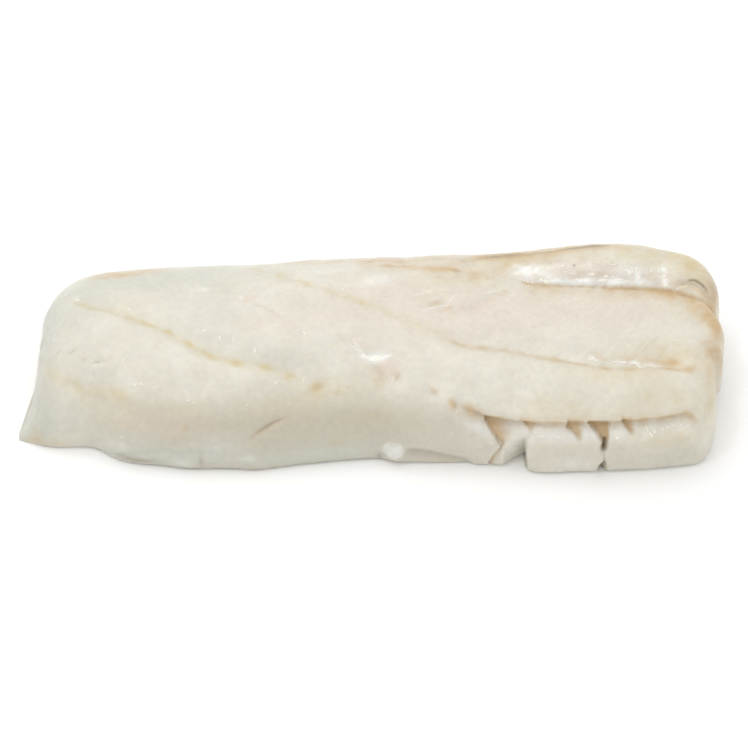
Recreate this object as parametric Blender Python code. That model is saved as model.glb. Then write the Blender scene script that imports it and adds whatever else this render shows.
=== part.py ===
"""Raw cod fillet: one thick skinless loin, lying on its flat side with the seamed side up.

X runs along the fillet from its tapered end to its blunt end, Y from the front edge to the back
edge, Z up from the board. Sizes are in millimetres until the mesh is made. A place on the skin is
given as (X, girth): girth is 0 at the front foot, 50 on the crown and 100 at the back foot.
"""

import bpy
import numpy as np

MM = 0.001

# ---- body ------------------------------------------------------------------------------------
TAPERED_END = -120.0          # X of the wall at the tapered end
BLUNT_END = 123.0             # X of the wall at the blunt end
TAPERED_ROUNDING = 17.0       # length over which the tapered end rounds down
BLUNT_ROUNDING = 8.0
FOOT_RADIUS = 2.4             # the edge tucks under by this much where it meets the board
MIDDLE_Y = 6.0                # Y of the middle line, and half the width there
HALF_WIDTH = 44.0

# Plan outline where the fillet meets the board: (X, Y)
FRONT_EDGE = [(-125, -23.5), (-113, -29.6), (-98, -30.5), (-88, -36.5), (-73, -39.5), (-62, -41.5),
              (-44, -41.5), (-23, -38.5), (2, -36), (10, -37.5), (31, -39), (46, -39.5),
              (58, -42.5), (75, -42.5), (95, -41.5), (108, -39.8), (115, -38.4), (119.5, -35),
              (122, -29), (124, -20)]
BACK_EDGE = [(-120, 33), (-113, 40), (-105, 44), (-92, 47), (-73, 48), (-44, 48.2), (2, 50.6),
             (22, 50.4), (34, 49.2), (50, 49.4), (62, 49.4), (72, 49.7), (88, 49.6), (100, 47.8),
             (108, 45.5), (116, 40), (124, 25)]
CROWN_HEIGHT = [(-120, 24), (-112, 26), (-95, 28.5), (-70, 29.6), (-50, 30), (-20, 31), (30, 31),
                (48, 30.4), (62, 30.9), (85, 32.2), (98, 31.8), (112, 31), (124, 28)]
# Where the highest line runs, as a share of the width from front to back
CROWN_SHARE = [(-125, 0.45), (-60, 0.5), (0, 0.55), (60, 0.66), (125, 0.66)]
# Squareness of the front and back shoulders: 2 is round, 6 is nearly boxy
FRONT_SQUARENESS = [(-125, 2.3), (-60, 2.3), (0, 2.6), (45, 3.8), (90, 4.6), (125, 4.6)]
BACK_SQUARENESS = [(-125, 2.4), (-40, 2.8), (60, 3.2), (125, 3.4)]

# ---- seams between the muscle bands ------------------------------------------------------------
# Each runs along path. valley and core are the depths of a wide dip and of the crease inside it;
# front_reach and back_reach are how far the dip spreads to either side; fade is the length over
# which it dies out at each end; bulge swells the band in front of it.
SEAMS = [
    dict(name="tapered upper seam", valley=1.3, core=0.15, front_reach=2.6, back_reach=6.0,
         fade=12, bulge=0.9,
         path=[(-114, 74), (-102, 60.5), (-88, 54.6), (-80, 50.4), (-72, 45.3), (-64.6, 39.8),
               (-57, 34.4), (-48, 31.2), (-37, 28), (-28, 24.6), (-19, 20.4)]),
    dict(name="tapered lower seam", valley=0.5, core=0.1, front_reach=3.0, back_reach=3.0,
         fade=10, bulge=0.0,
         path=[(-117, 42), (-107, 26), (-98, 18), (-85, 16), (-69, 10)]),
    dict(name="long thin seam", valley=0.35, core=0.12, front_reach=2.0, back_reach=3.0,
         fade=12, bulge=0.3,
         path=[(-50, 79), (-39, 74), (-25, 65), (-7, 53), (10, 41.5), (21, 35), (32, 28)]),
    dict(name="deep seam", valley=1.9, core=0.25, front_reach=2.4, back_reach=8.0,
         fade=13, bulge=0.8,
         path=[(20, 33), (33, 28.5), (50, 25.2), (66, 23.2), (85, 21.8), (100, 22.2), (114, 21.4)]),
    dict(name="front slit", valley=0.5, core=0.6, front_reach=1.3, back_reach=2.2,
         fade=5, bulge=0.0,
         path=[(-44, 9), (-38, 11.8), (-34, 13.2), (-28, 14.2)]),
    dict(name="slit in the rolled flap", valley=0.3, core=1.0, front_reach=1.0, back_reach=1.2,
         fade=4, bulge=0.0,
         path=[(106, 50.5), (111, 54.2), (115, 54.8), (119, 52.5), (123, 50)]),
    dict(name="torn membrane", valley=0.3, core=0.3, front_reach=1.2, back_reach=1.6,
         fade=5, bulge=0.0,
         path=[(-14, 38), (-7, 31.8), (0, 27.8), (7, 27.3)]),
]

# ---- rolled flap along the back edge, lip over the flakes, thin edge under the front -------------
FLAP_PATH = [(38, 61), (45, 58.2), (50.4, 55.6), (53, 54.6), (57, 54.1), (61.4, 53.6), (66.8, 52.8),
             (74, 51.8), (82.5, 50.8), (91, 49.9), (97.5, 50.1), (104, 49.9), (109, 49.5), (112, 49.4),
             (115, 49.7), (119, 51), (124, 52)]
FLAP_HEIGHT = 3.2             # its front stands this far above the band before it
FLAP_FRONT = 4.6              # length over which the front rises
FLAP_FADE = 34                # length over which it grows out of the back edge
FLAP_CREASE = 0.7             # depth of the crease at its foot
LIP_PATH = [(27, 15.3), (34, 13.7), (41, 11.9), (47, 11.4), (60, 11.7), (72, 11.8), (83, 12),
            (92.7, 12.4), (98.7, 12.7), (102, 13), (105, 13.4), (107, 13.6), (109, 13.2), (111, 12.5),
            (114, 11.5)]
LIP_UNDERCUT = 3.2            # the flakes start this far in, just below the lip
LIP_SLOPE = 8.0               # and come back out to the face over this height
LIP_FADE = 12

# Thin edge left on the board: the face above it is cut back along path
UNDER_EDGES = [
    dict(path=[(-94, 1.8), (-86, 3.2), (-81, 4.6), (-76, 5.4), (-72, 5.9), (-68, 5.4), (-63, 6.2),
               (-57, 6.6), (-51, 4.6)], depth=0.8, width=1.2, fade=6),
    dict(path=[(9, 3.8), (19, 3), (27, 1.8), (36, 0.5)], depth=1.6, width=1.8, fade=4),
]

# ---- gapes between the flakes --------------------------------------------------------------------
# Both sides are (girth, X) lines. The left side is a cliff, and the floor rises from its foot to the
# right side: steadily for a rise of 1 and late for a larger one.
GAPES = [
    dict(left=[(5.7, 44.3), (7.7, 41.9), (9.3, 39.9), (10.7, 38.8), (12.0, 38.0)],
         right=[(5.7, 45.9), (7.0, 48.4), (9.0, 49.6), (12.0, 48.0)], depth=2.3, rise=1.5),
    dict(left=[(9.4, 52.6), (10.6, 51.4), (11.8, 49.8)],
         right=[(9.4, 53.4), (11.8, 56.2)], depth=0.9, rise=1.5),
    dict(left=[(8.1, 70.6), (9.3, 68.6), (10.0, 67.4), (10.7, 66.0), (11.1, 66.3), (12.3, 66.4)],
         right=[(8.1, 71.3), (10.0, 72.6), (12.3, 72.6)], depth=1.7, rise=1.6),
    dict(left=[(7.1, 79.2), (7.9, 78.6), (9.0, 77.0), (10.0, 75.7), (11.0, 74.2), (12.0, 73.1)],
         right=[(7.1, 80.1), (9.0, 80.9), (12.0, 81.0)], depth=2.8, rise=5.0),
    dict(left=[(9.1, 88.6), (10.0, 87.3), (11.0, 86.1), (12.7, 84.4)],
         right=[(9.1, 89.2), (10.0, 90.0), (12.7, 89.6)], depth=1.8, rise=1.6),
    dict(left=[(-0.6, 39.1), (1.0, 39.8), (2.7, 40.9), (4.3, 42.6), (6.2, 44.3)],
         right=[(-0.6, 41.5), (1.0, 42.4), (3.0, 43.8), (4.7, 44.6), (6.2, 45.2)], depth=1.5, rise=1.2),
]
# A narrow crack that carries the widest gape on to the foot: (girth, X), (girth, width), (girth, depth)
CRACK = dict(path=[(0.0, 79.5), (1.6, 79.2), (3.2, 79.8), (4.8, 79.5), (6.4, 79.2), (8.4, 79.6)],
             width=[(0.0, 1.3), (2.2, 1.0), (3.4, 0.4), (5.4, 0.4), (6.2, 0.9), (8.4, 0.9)],
             depth=[(0.0, 2.8), (2.6, 2.0), (3.6, 0.5), (5.2, 0.4), (6.2, 2.2), (7.2, 2.4), (8.1, 0.0)])
# A flake that stands proud: the foot on its left runs in from start to its edge, a (girth, X) line
PROUD_FLAKE = dict(start=45.0, edge=[(0, 52.9), (6.5, 52.2), (11, 54)], sharp=1.0, depth=7.8, top=11.0)

# ---- small dents and lumps: (X, girth), length and width in mm, turn in degrees, height ----------
DENTS = [
    dict(at=(-105.0, 36.0), size=(2.6, 1.1), turn=25, height=-0.5),
    dict(at=(-96.0, 30.2), size=(3.0, 1.2), turn=12, height=-0.5),
    dict(at=(2.3, 22.6), size=(4.2, 1.2), turn=-60, height=-0.9),
    dict(at=(8.2, 21.2), size=(2.6, 1.0), turn=-50, height=-0.7),
    dict(at=(20.0, 17.0), size=(2.4, 0.9), turn=-45, height=-0.6),
    dict(at=(28.0, 14.4), size=(1.0, 2.2), turn=0, height=-1.2),
    dict(at=(21.8, 46.2), size=(4.2, 1.4), turn=14, height=-0.7),
    dict(at=(37.5, 43.2), size=(11.0, 2.8), turn=24, height=-0.8),
    dict(at=(-19.0, 20.2), size=(2.2, 1.8), turn=0, height=-0.5),
    dict(at=(7.6, 3.0), size=(4.0, 3.2), turn=0, height=2.4),
    dict(at=(122.0, 43.5), size=(7.0, 6.5), turn=0, height=2.2),
    dict(at=(-18.1, 78.0), size=(3.0, 6.0), turn=0, height=-0.5),
    dict(at=(-1.4, 76.0), size=(3.0, 6.0), turn=0, height=-0.5),
    dict(at=(10.6, 73.0), size=(3.2, 7.0), turn=0, height=-1.3),
    dict(at=(34.8, 68.0), size=(4.5, 6.0), turn=0, height=-2.2),
    dict(at=(67.0, 69.0), size=(6.0, 7.0), turn=0, height=-0.6),
    dict(at=(104.5, 66.0), size=(4.5, 8.0), turn=0, height=-1.3),
]

# ---- ends --------------------------------------------------------------------------------------
TIP_REACH = 4.9               # the thin tip runs out this far at the foot of the tapered end
TIP_HEIGHT = 3.9              # and has died out by about this height
TIP_Y = (-46.0, 2.0)          # front and back limits of the tip
TIP_SHARPNESS = 0.9           # 1 leaves the tip's edge thin, 0 tucks it under like the rest
BLUNT_STEP = 3.4              # the lower front of the blunt end is set back by this much
BLUNT_STEP_GIRTH = 32.0

# ---- unevenness of the flesh: size of the lumps across and their height --------------------------
LUMPS = [(24.0, 0.55), (10.0, 0.28), (5.0, 0.12)]

# ---- mesh --------------------------------------------------------------------------------------
RING_SPACING = 1.15
GIRTH_STEPS = 131
END_STEPS = 14
BOTTOM_STEPS = 12
TRIANGLES = 10400

FLESH_COLOR = (0.80, 0.76, 0.66, 1.0)
FLESH_ROUGHNESS = 0.36


def smooth_line(knots, x):
    """Value at x of the smooth line through (x, value) knots, flat where the knots turn back."""
    kx, ky = np.array(knots, float).T
    gap = np.diff(kx)
    slope = np.diff(ky) / gap
    before, after = np.insert(slope, 0, slope[0]), np.append(slope, slope[-1])
    tangent = np.where(before * after > 0, (before + after) / 2, 0.0)
    limit = 3 * np.minimum(np.abs(before), np.abs(after))
    tangent = np.clip(tangent, -limit, limit)
    x = np.clip(x, kx[0], kx[-1])
    i = np.clip(np.searchsorted(kx, x, side="right") - 1, 0, len(gap) - 1)
    t = (x - kx[i]) / gap[i]
    return (ky[i] * (1 + 2 * t) * (1 - t) ** 2 + ky[i + 1] * t * t * (3 - 2 * t)
            + gap[i] * t * (1 - t) * (tangent[i] * (1 - t) - tangent[i + 1] * t))


def ease(value, start, stop):
    """0 before start, 1 after stop, and smooth between."""
    t = np.clip((value - start) / (stop - start), 0, 1)
    return t * t * (3 - 2 * t)


def lumps(u, v, size, seed):
    """Smooth uneven bumps between -1 and 1, about size across."""
    table = np.random.default_rng(seed).uniform(-1, 1, (64, 64))
    iu, iv = np.floor(u / size).astype(int), np.floor(v / size).astype(int)
    fu, fv = ease(u / size - iu, 0, 1), ease(v / size - iv, 0, 1)

    def corner(du, dv):
        return table[(iu + du) % 64, (iv + dv) % 64]

    near = corner(0, 0) * (1 - fu) + corner(1, 0) * fu
    far = corner(0, 1) * (1 - fu) + corner(1, 1) * fu
    return near * (1 - fv) + far * fv


def ring_positions():
    """For each ring: place in the end rounding (-1 to 1), place along the body, share of full height."""
    angle = np.linspace(np.pi / 2 - 0.02, 0, END_STEPS, endpoint=False)
    middle = int((BLUNT_END - TAPERED_END - TAPERED_ROUNDING - BLUNT_ROUNDING) / RING_SPACING)
    round_end, square_end = 2 / 2.3, 2 / 4.5
    tapered = [(-np.sin(a) ** round_end, 0.0, np.cos(a) ** round_end) for a in angle]
    body = [(0.0, t, 1.0) for t in np.linspace(0, 1, middle)]
    blunt = [(np.sin(a) ** square_end, 1.0, np.cos(a) ** square_end) for a in angle[::-1]]
    return np.array(tapered + body + blunt).T


def body_grid():
    """Plain body as a grid: rings along X, steps round each from the front foot over the crown."""
    end_share, along, height_share = ring_positions()
    start, stop = TAPERED_END + TAPERED_ROUNDING, BLUNT_END - BLUNT_ROUNDING
    rounding = np.where(end_share < 0, TAPERED_ROUNDING, BLUNT_ROUNDING)
    x = start + (stop - start) * along + end_share * rounding
    x = np.repeat(x[:, None], GIRTH_STEPS, 1)
    turn = np.pi * np.linspace(0, 1, GIRTH_STEPS)[None, :]
    front, back = smooth_line(FRONT_EDGE, x), smooth_line(BACK_EDGE, x)
    crown = front + (back - front) * smooth_line(CROWN_SHARE, x)
    in_front = turn < np.pi / 2
    half = np.where(in_front, crown - front, back - crown)
    power = np.where(in_front, smooth_line(FRONT_SQUARENESS, x), smooth_line(BACK_SQUARENESS, x))
    across, up = np.abs(np.cos(turn)), np.sin(turn)
    reach = ((across / half) ** power + (up / smooth_line(CROWN_HEIGHT, x)) ** power) ** (-1 / power)
    y = crown + np.where(in_front, -1, 1) * reach * across
    z = reach * up * height_share[:, None]
    return np.stack([x, y, z], -1)


class Skin:
    """Where each grid point lies on the fillet: x, girth, and arc, the mm walked up from the foot."""

    def __init__(self, grid):
        self.grid = grid
        self.x = grid[..., 0]
        self.girth = np.repeat(np.linspace(0, 100, grid.shape[1])[None, :], len(grid), 0)
        height_share = ring_positions()[2]
        full = grid.copy()
        full[..., 2] /= height_share[:, None]
        steps = np.linalg.norm(np.diff(full, axis=1), axis=-1)
        self.arc = np.concatenate([np.zeros((len(grid), 1)), np.cumsum(steps, 1)], 1)
        normal = np.cross(np.gradient(grid, axis=0), np.gradient(grid, axis=1))
        self.normal = normal / np.linalg.norm(normal, axis=-1, keepdims=True)

    def arc_of(self, girth):
        """mm from the front foot to a girth that may differ from ring to ring."""
        place = np.clip(girth, 0, 100) / 100 * (self.arc.shape[1] - 1)
        low = np.floor(place).astype(int)
        high = np.minimum(low + 1, self.arc.shape[1] - 1)
        rows = np.arange(len(self.arc))
        return self.arc[rows, low] + (place - low) * (self.arc[rows, high] - self.arc[rows, low])

    def across(self, path):
        """Signed mm from a line along the fillet, positive towards the back."""
        line = self.arc_of(smooth_line(path, self.x[:, 0]))
        slope = np.gradient(line, self.x[:, 0])
        return (self.arc - line[:, None]) / np.sqrt(1 + slope ** 2)[:, None]

    def along(self, path, fade):
        """1 beside the middle of the line, dying out over fade at each of its ends."""
        return ease(self.x, path[0][0], path[0][0] + fade) * ease(-self.x, -path[-1][0], fade - path[-1][0])

    def around(self, at, size, turn):
        """Round distance from a place, 1 at the edge of an oval of that size and turn."""
        middle = self.arc_of(np.full(len(self.arc), at[1]))
        u, v = self.x - at[0], self.arc - middle[:, None]
        c, s = np.cos(np.radians(turn)), np.sin(np.radians(turn))
        return np.hypot((u * c + v * s) / size[0], (v * c - u * s) / size[1])


def seam_relief(skin, seam):
    """A dip with a crease in it, and the swelling of the band in front."""
    off, weight = skin.across(seam["path"]), skin.along(seam["path"], seam["fade"])
    reach = np.where(off < 0, seam["front_reach"], seam["back_reach"])
    dip = seam["valley"] * np.exp(-(off / reach) ** 2) + seam["core"] * np.exp(-np.abs(off) / 0.7)
    swell = seam["bulge"] * np.exp(-((off + 11) / 8) ** 2)
    return weight * (swell - dip)


def flap_relief(skin):
    """The rolled flap: a steep front that rises from a crease and rounds off to the back."""
    off, weight = skin.across(FLAP_PATH), ease(skin.x, FLAP_PATH[0][0], FLAP_PATH[0][0] + FLAP_FADE)
    roll = FLAP_HEIGHT * (1 - np.exp(-np.maximum(off, 0) / FLAP_FRONT)) * (1 - ease(off, 14, 52))
    before = np.exp(-(np.minimum(off, 0) / 6) ** 2) * ease(-off, -0.8, 0.8)
    return weight * (roll - FLAP_CREASE * (np.exp(-np.abs(off) / 0.8) + before))


def lip_relief(skin):
    """The long band's lower lip stands over the flakes, which slope back out below it."""
    off, weight = skin.across(LIP_PATH), skin.along(LIP_PATH, LIP_FADE)
    under = LIP_UNDERCUT * (1 - ease(-off, 0, LIP_SLOPE)) * ease(-off, -0.3, 0.5)
    lip = 0.7 * np.exp(-((off - 1.6) / 2.2) ** 2)
    return weight * (lip - under)


def gape_relief(skin, gape):
    """A gape between two flakes: a cliff on one side, a floor that rises to the other."""
    lowest, highest = gape["left"][0][0], gape["left"][-1][0]
    left, right = smooth_line(gape["left"], skin.girth), smooth_line(gape["right"], skin.girth)
    cliff = ease(skin.x - left, -0.3, 0.6)
    inside = ease(skin.girth, lowest - 0.3, lowest + 0.8) * (1 - ease(skin.girth, highest - 0.4, highest + 0.4))
    to_right = np.clip((skin.x - left) / (right - left + 0.2), 0, 1)
    return -gape["depth"] * cliff * inside * (1 - to_right ** gape["rise"])


def crack_relief(skin):
    """A narrow crack that runs up the face."""
    off = (skin.x - smooth_line(CRACK["path"], skin.girth)) / smooth_line(CRACK["width"], skin.girth)
    return -np.exp(-off ** 2) * smooth_line(CRACK["depth"], skin.girth) * (skin.girth < 9)


def run_in_before_proud_flake(skin):
    """How far back the foot runs before it jumps out to the next flake."""
    flake = PROUD_FLAKE
    edge = smooth_line(flake["edge"], skin.girth)
    run_in = np.clip((skin.x - flake["start"]) / (edge - flake["start"]), 0, 1)
    run_in *= 1 - ease(skin.x, edge, edge + flake["sharp"])
    return flake["depth"] * run_in * (1 - ease(skin.girth, 1.0, flake["top"]))


def relief(skin):
    """Height of everything that stands above or dips below the plain body."""
    total = sum(height * lumps(skin.x + 300, skin.arc, size, seed)
                for seed, (size, height) in enumerate(LUMPS))
    total = total + sum(seam_relief(skin, seam) for seam in SEAMS)
    total += flap_relief(skin) + lip_relief(skin)
    for edge in UNDER_EDGES:
        off = skin.across(edge["path"]) / edge["width"]
        total -= edge["depth"] * np.exp(-off ** 2) * skin.along(edge["path"], edge["fade"])
    total += sum(gape_relief(skin, gape) for gape in GAPES) + crack_relief(skin)
    for dent in DENTS:
        total += dent["height"] * np.exp(-skin.around(dent["at"], dent["size"], dent["turn"]) ** 2)
    return total


def with_bottom(upper):
    """Closes each ring: the flat underside runs straight from the back foot to the front foot."""
    share = np.linspace(0, 1, BOTTOM_STEPS + 2)[1:-1, None]
    bottom = upper[:, -1:, :] * (1 - share) + upper[:, :1, :] * share
    bottom[..., 2] = 0.0
    return np.concatenate([upper, bottom], 1)


def shape_ends(points):
    """Tucks the foot under, runs the thin tip out and sets back the lower front of the blunt end."""
    x, y, z = points[..., 0].copy(), points[..., 1].copy(), points[..., 2]
    tip = ease(y, TIP_Y[0], TIP_Y[0] + 22) * (1 - ease(y, TIP_Y[0] + 22, TIP_Y[1]))
    tip *= np.exp(-(x - TAPERED_END).clip(0) / 9)
    tuck = FOOT_RADIUS - np.sqrt(FOOT_RADIUS ** 2 - np.clip(FOOT_RADIUS - z, 0, FOOT_RADIUS) ** 2)
    tuck *= 1 - TIP_SHARPNESS * tip
    middle_x, middle_y = (TAPERED_END + BLUNT_END) / 2, MIDDLE_Y
    x -= (x - middle_x) * tuck / (BLUNT_END - middle_x)
    y -= (y - middle_y) * tuck / HALF_WIDTH
    x -= TIP_REACH * np.exp(-z / TIP_HEIGHT) * tip
    at_end = ease(x, BLUNT_END - 14, BLUNT_END - 3)
    girth = np.linspace(0, 100, GIRTH_STEPS)
    set_back = np.concatenate([1 - ease(girth, BLUNT_STEP_GIRTH - 1.5, BLUNT_STEP_GIRTH + 1.5),
                               np.linspace(0, 1, BOTTOM_STEPS)])
    x -= BLUNT_STEP * at_end * set_back[None, :]
    return np.stack([x, y, z], -1)


def fillet_points():
    """All points of the fillet: rings along X, each a closed loop."""
    grid = body_grid()
    skin = Skin(grid)
    upper = grid + skin.normal * relief(skin)[..., None]
    upper[..., 1] += run_in_before_proud_flake(skin)
    upper[..., 2] = np.maximum(upper[..., 2], 0.0)
    upper[:, [0, -1], 2] = 0.0
    return shape_ends(with_bottom(upper))


def centred(points):
    """Moves the plan so that the box's middle is over the origin, and the foot onto Z = 0."""
    low, high = points.min((0, 1)), points.max((0, 1))
    return points - np.array([(low[0] + high[0]) / 2, (low[1] + high[1]) / 2, low[2]])


def ring_mesh(name, points):
    """Skins closed rings of points with quads and caps the first and the last ring."""
    rings, steps = points.shape[:2]
    number = np.arange(rings * steps).reshape(rings, steps)
    near, far = number[:-1], number[1:]
    turned_near, turned_far = np.roll(near, -1, 1), np.roll(far, -1, 1)
    quads = np.stack([near, far, turned_far, turned_near], -1).reshape(-1, 4)
    faces = quads.tolist() + [number[0].tolist(), number[-1][::-1].tolist()]
    mesh = bpy.data.meshes.new(name)
    mesh.from_pydata((points.reshape(-1, 3) * MM).tolist(), [], faces)
    mesh.validate()
    mesh.update()
    return mesh


def flesh_material():
    """Wet raw fish: cream white, softly shiny."""
    material = bpy.data.materials.new("raw_cod_flesh")
    material.use_nodes = True
    shader = material.node_tree.nodes["Principled BSDF"]
    shader.inputs["Base Color"].default_value = FLESH_COLOR
    shader.inputs["Roughness"].default_value = FLESH_ROUGHNESS
    return material


def add_fillet():
    """The fillet as one object, thinned where it is smooth and fine where flakes and seams are."""
    mesh = ring_mesh("cod_fillet", centred(fillet_points()))
    mesh.materials.append(flesh_material())
    fillet = bpy.data.objects.new("cod_fillet", mesh)
    bpy.context.scene.collection.objects.link(fillet)
    mesh.shade_smooth()
    split = fillet.modifiers.new("split quads", "TRIANGULATE")
    split.quad_method = "SHORTEST_DIAGONAL"
    thin = fillet.modifiers.new("thin smooth areas", "DECIMATE")
    thin.ratio = TRIANGLES / (2 * len(mesh.polygons) + 2 * points_in_cap())
    thin.use_collapse_triangulate = True
    return fillet


def points_in_cap():
    """Corners of one end cap."""
    return GIRTH_STEPS + BOTTOM_STEPS


def main():
    for thing in list(bpy.data.objects):
        bpy.data.objects.remove(thing)
    add_fillet()


main()
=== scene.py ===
# Raw cod fillet: one skinless, boneless loin on a pale floor, seen from the front and above.
import math

import bpy
import numpy as np
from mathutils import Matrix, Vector


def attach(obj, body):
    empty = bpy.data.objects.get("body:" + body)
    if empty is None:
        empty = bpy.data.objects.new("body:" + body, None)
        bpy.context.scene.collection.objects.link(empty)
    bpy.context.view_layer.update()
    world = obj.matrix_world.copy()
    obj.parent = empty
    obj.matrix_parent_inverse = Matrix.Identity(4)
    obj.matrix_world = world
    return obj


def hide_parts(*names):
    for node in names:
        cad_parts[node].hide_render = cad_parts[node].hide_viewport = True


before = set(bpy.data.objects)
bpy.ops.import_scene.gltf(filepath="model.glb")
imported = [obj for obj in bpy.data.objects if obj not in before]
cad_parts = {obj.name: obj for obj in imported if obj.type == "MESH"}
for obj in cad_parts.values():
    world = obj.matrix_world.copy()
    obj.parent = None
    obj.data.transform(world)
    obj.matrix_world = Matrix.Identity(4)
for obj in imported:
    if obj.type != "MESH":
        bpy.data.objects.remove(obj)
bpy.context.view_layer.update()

mm = 0.001
uvUnit = 10.0  # mm of flesh in one unit of the UV map


def linear(hexCode):
    # sRGB hex to linear RGBA
    shares = [int(hexCode[i:i + 2], 16) / 255 for i in (1, 3, 5)]
    return [c / 12.92 if c <= 0.04045 else ((c + 0.055) / 1.055) ** 2.4 for c in shares] + [1.0]


def feed(tree, node, inputs):
    # an input's value is a number, a colour or the socket that feeds it
    for name, value in inputs.items():
        if isinstance(value, bpy.types.NodeSocket):
            tree.links.new(value, node.inputs[name])
        else:
            node.inputs[name].default_value = value


def addNode(tree, kind, inputs=None, **settings):
    # one node with its settings and its links
    node = tree.nodes.new(kind)
    for name, value in settings.items():
        setattr(node, name, value)
    feed(tree, node, inputs or {})
    return node


def newMaterial(name):
    material = bpy.data.materials.new(name)
    material.use_nodes = True
    return material, material.node_tree, material.node_tree.nodes["Principled BSDF"]


def newObject(name, data):
    thing = bpy.data.objects.new(name, data)
    bpy.context.scene.collection.objects.link(thing)
    return thing


def triangles(mesh):
    return sum(len(face.vertices) - 2 for face in mesh.polygons)


def smoothLine(knots, x):
    # smooth line through (x, value) knots, flat where the knots turn back
    kx, ky = np.array(knots, float).T
    gap = np.diff(kx)
    slope = np.diff(ky) / gap
    before, after = np.insert(slope, 0, slope[0]), np.append(slope, slope[-1])
    tangent = np.where(before * after > 0, (before + after) / 2, 0.0)
    limit = 3 * np.minimum(np.abs(before), np.abs(after))
    tangent = np.clip(tangent, -limit, limit)
    x = np.clip(x, kx[0], kx[-1])
    i = np.clip(np.searchsorted(kx, x, side="right") - 1, 0, len(gap) - 1)
    t = (x - kx[i]) / gap[i]
    return (ky[i] * (1 + 2 * t) * (1 - t) ** 2 + ky[i + 1] * t * t * (3 - 2 * t)
            + gap[i] * t * (1 - t) * (tangent[i] * (1 - t) - tangent[i + 1] * t))


def ease(value, start, stop):
    # 0 before start, 1 after stop and smooth between them
    t = np.clip((value - start) / (stop - start), 0, 1)
    return t * t * (3 - 2 * t)


def between(value, rise, fall):
    # up over the rise and down again over the fall
    return ease(value, *rise) * (1 - ease(value, *fall))


def bell(value, middle, width):
    # 1 at the middle and smoothly less on both sides of it
    return np.exp(-((value - middle) / width) ** 2)


def peak(value, width):
    # 1 at zero, with a sharp top
    return np.exp(-np.abs(value) / width)


def lumps(u, v, size, seed):
    # smooth uneven bumps between -1 and 1, about size across
    cells = 64
    table = np.random.default_rng(seed).uniform(-1, 1, (cells, cells))
    iu, iv = np.floor(u / size).astype(int), np.floor(v / size).astype(int)
    fu, fv = ease(u / size - iu, 0, 1), ease(v / size - iv, 0, 1)

    def corner(du, dv):
        return table[(iu + du) % cells, (iv + dv) % cells]

    near = corner(0, 0) * (1 - fu) + corner(1, 0) * fu
    far = corner(0, 1) * (1 - fu) + corner(1, 1) * fu
    return near * (1 - fv) + far * fv


# The fillet. Lengths are in mm. A place on the skin is (X, girth): girth is 0 at the front foot,
# 50 on the crown and 100 at the back foot. These are the part's own sizes.
fillet = {
    "taperedEnd": -120.0,
    "bluntEnd": 123.0,
    "taperedRounding": 17.0,
    "bluntRounding": 8.0,
    "taperedSquareness": 2.3,
    "bluntSquareness": 4.5,
    "footRadius": 2.4,
    "middleY": 6.0,
    "halfWidth": 44.0,
    "frontEdge": [(-125, -23.5), (-113, -29.6), (-98, -30.5), (-88, -36.5), (-73, -39.5), (-62, -41.5),
                  (-44, -41.5), (-23, -38.5), (2, -36), (10, -37.5), (31, -39), (46, -39.5), (58, -42.5),
                  (75, -42.5), (95, -41.5), (108, -39.8), (115, -38.4), (119.5, -35), (122, -29),
                  (124, -20)],
    "backEdge": [(-120, 33), (-113, 40), (-105, 44), (-92, 47), (-73, 48), (-44, 48.2), (2, 50.6),
                 (22, 50.4), (34, 49.2), (50, 49.4), (62, 49.4), (72, 49.7), (88, 49.6), (100, 47.8),
                 (108, 45.5), (116, 40), (124, 25)],
    "crownHeight": [(-120, 24), (-112, 26), (-95, 28.5), (-70, 29.6), (-50, 30), (-20, 31), (30, 31),
                    (48, 30.4), (62, 30.9), (85, 32.2), (98, 31.8), (112, 31), (124, 28)],
    "crownShare": [(-125, 0.45), (-60, 0.5), (0, 0.55), (60, 0.66), (125, 0.66)],
    "frontSquareness": [(-125, 2.3), (-60, 2.3), (0, 2.6), (45, 3.8), (90, 4.6), (125, 4.6)],
    "backSquareness": [(-125, 2.4), (-40, 2.8), (60, 3.2), (125, 3.4)],
    "tipReach": 4.9,
    "tipHeight": 3.9,
    "tipY": (-46.0, 2.0),
    "tipSharpness": 0.9,
    "tipWidth": 22.0,
    "tipLength": 9.0,
    "bluntStep": 3.4,
    "bluntStepGirth": 32.0,
    "bluntStepEdge": 1.5,
    "bluntStepStart": (-14.0, -3.0),  # from the blunt end
    "lumps": [(24.0, 0.55), (10.0, 0.28), (5.0, 0.12)],
    "lumpShift": 300.0,  # the part's own, so that both have the same lumps
}

# How fine the mesh is: (X, mm between rings) and (girth, mm between steps), finest at the gapes.
fineness = {
    "rings": [(-103, 0.85), (28, 0.8), (38, 0.45), (49, 0.36), (51.4, 0.24), (54.6, 0.24), (56.2, 0.36),
              (64, 0.45), (92, 0.45), (100, 0.7), (115, 0.7)],
    "girth": [(0, 0.6), (3, 0.5), (20, 0.5), (30, 0.7), (60, 0.6), (73, 0.6), (80, 1.1), (100, 1.3)],
    "girthLength": 128.0,
    "endSpacing": 0.8,
    "endHeight": 29.0,
    "endGap": 0.02,  # radians left out at the very middle of an end wall
    "bottomSteps": 26,
    "bottomLength": 90.0,
    "sharpAngle": 55,
    "samples": 4000,
    "endSamples": 2000,
}

# A seam is a valley with a sharp core along a path of (X, girth), and the flesh swells up in front of
# some of them. Its reach is the valley's width in front of the path and behind it.
seamForm = {
    "coreWidth": 0.7,
    "bulgeAway": 11.0,
    "bulgeWidth": 8.0,
}

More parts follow.
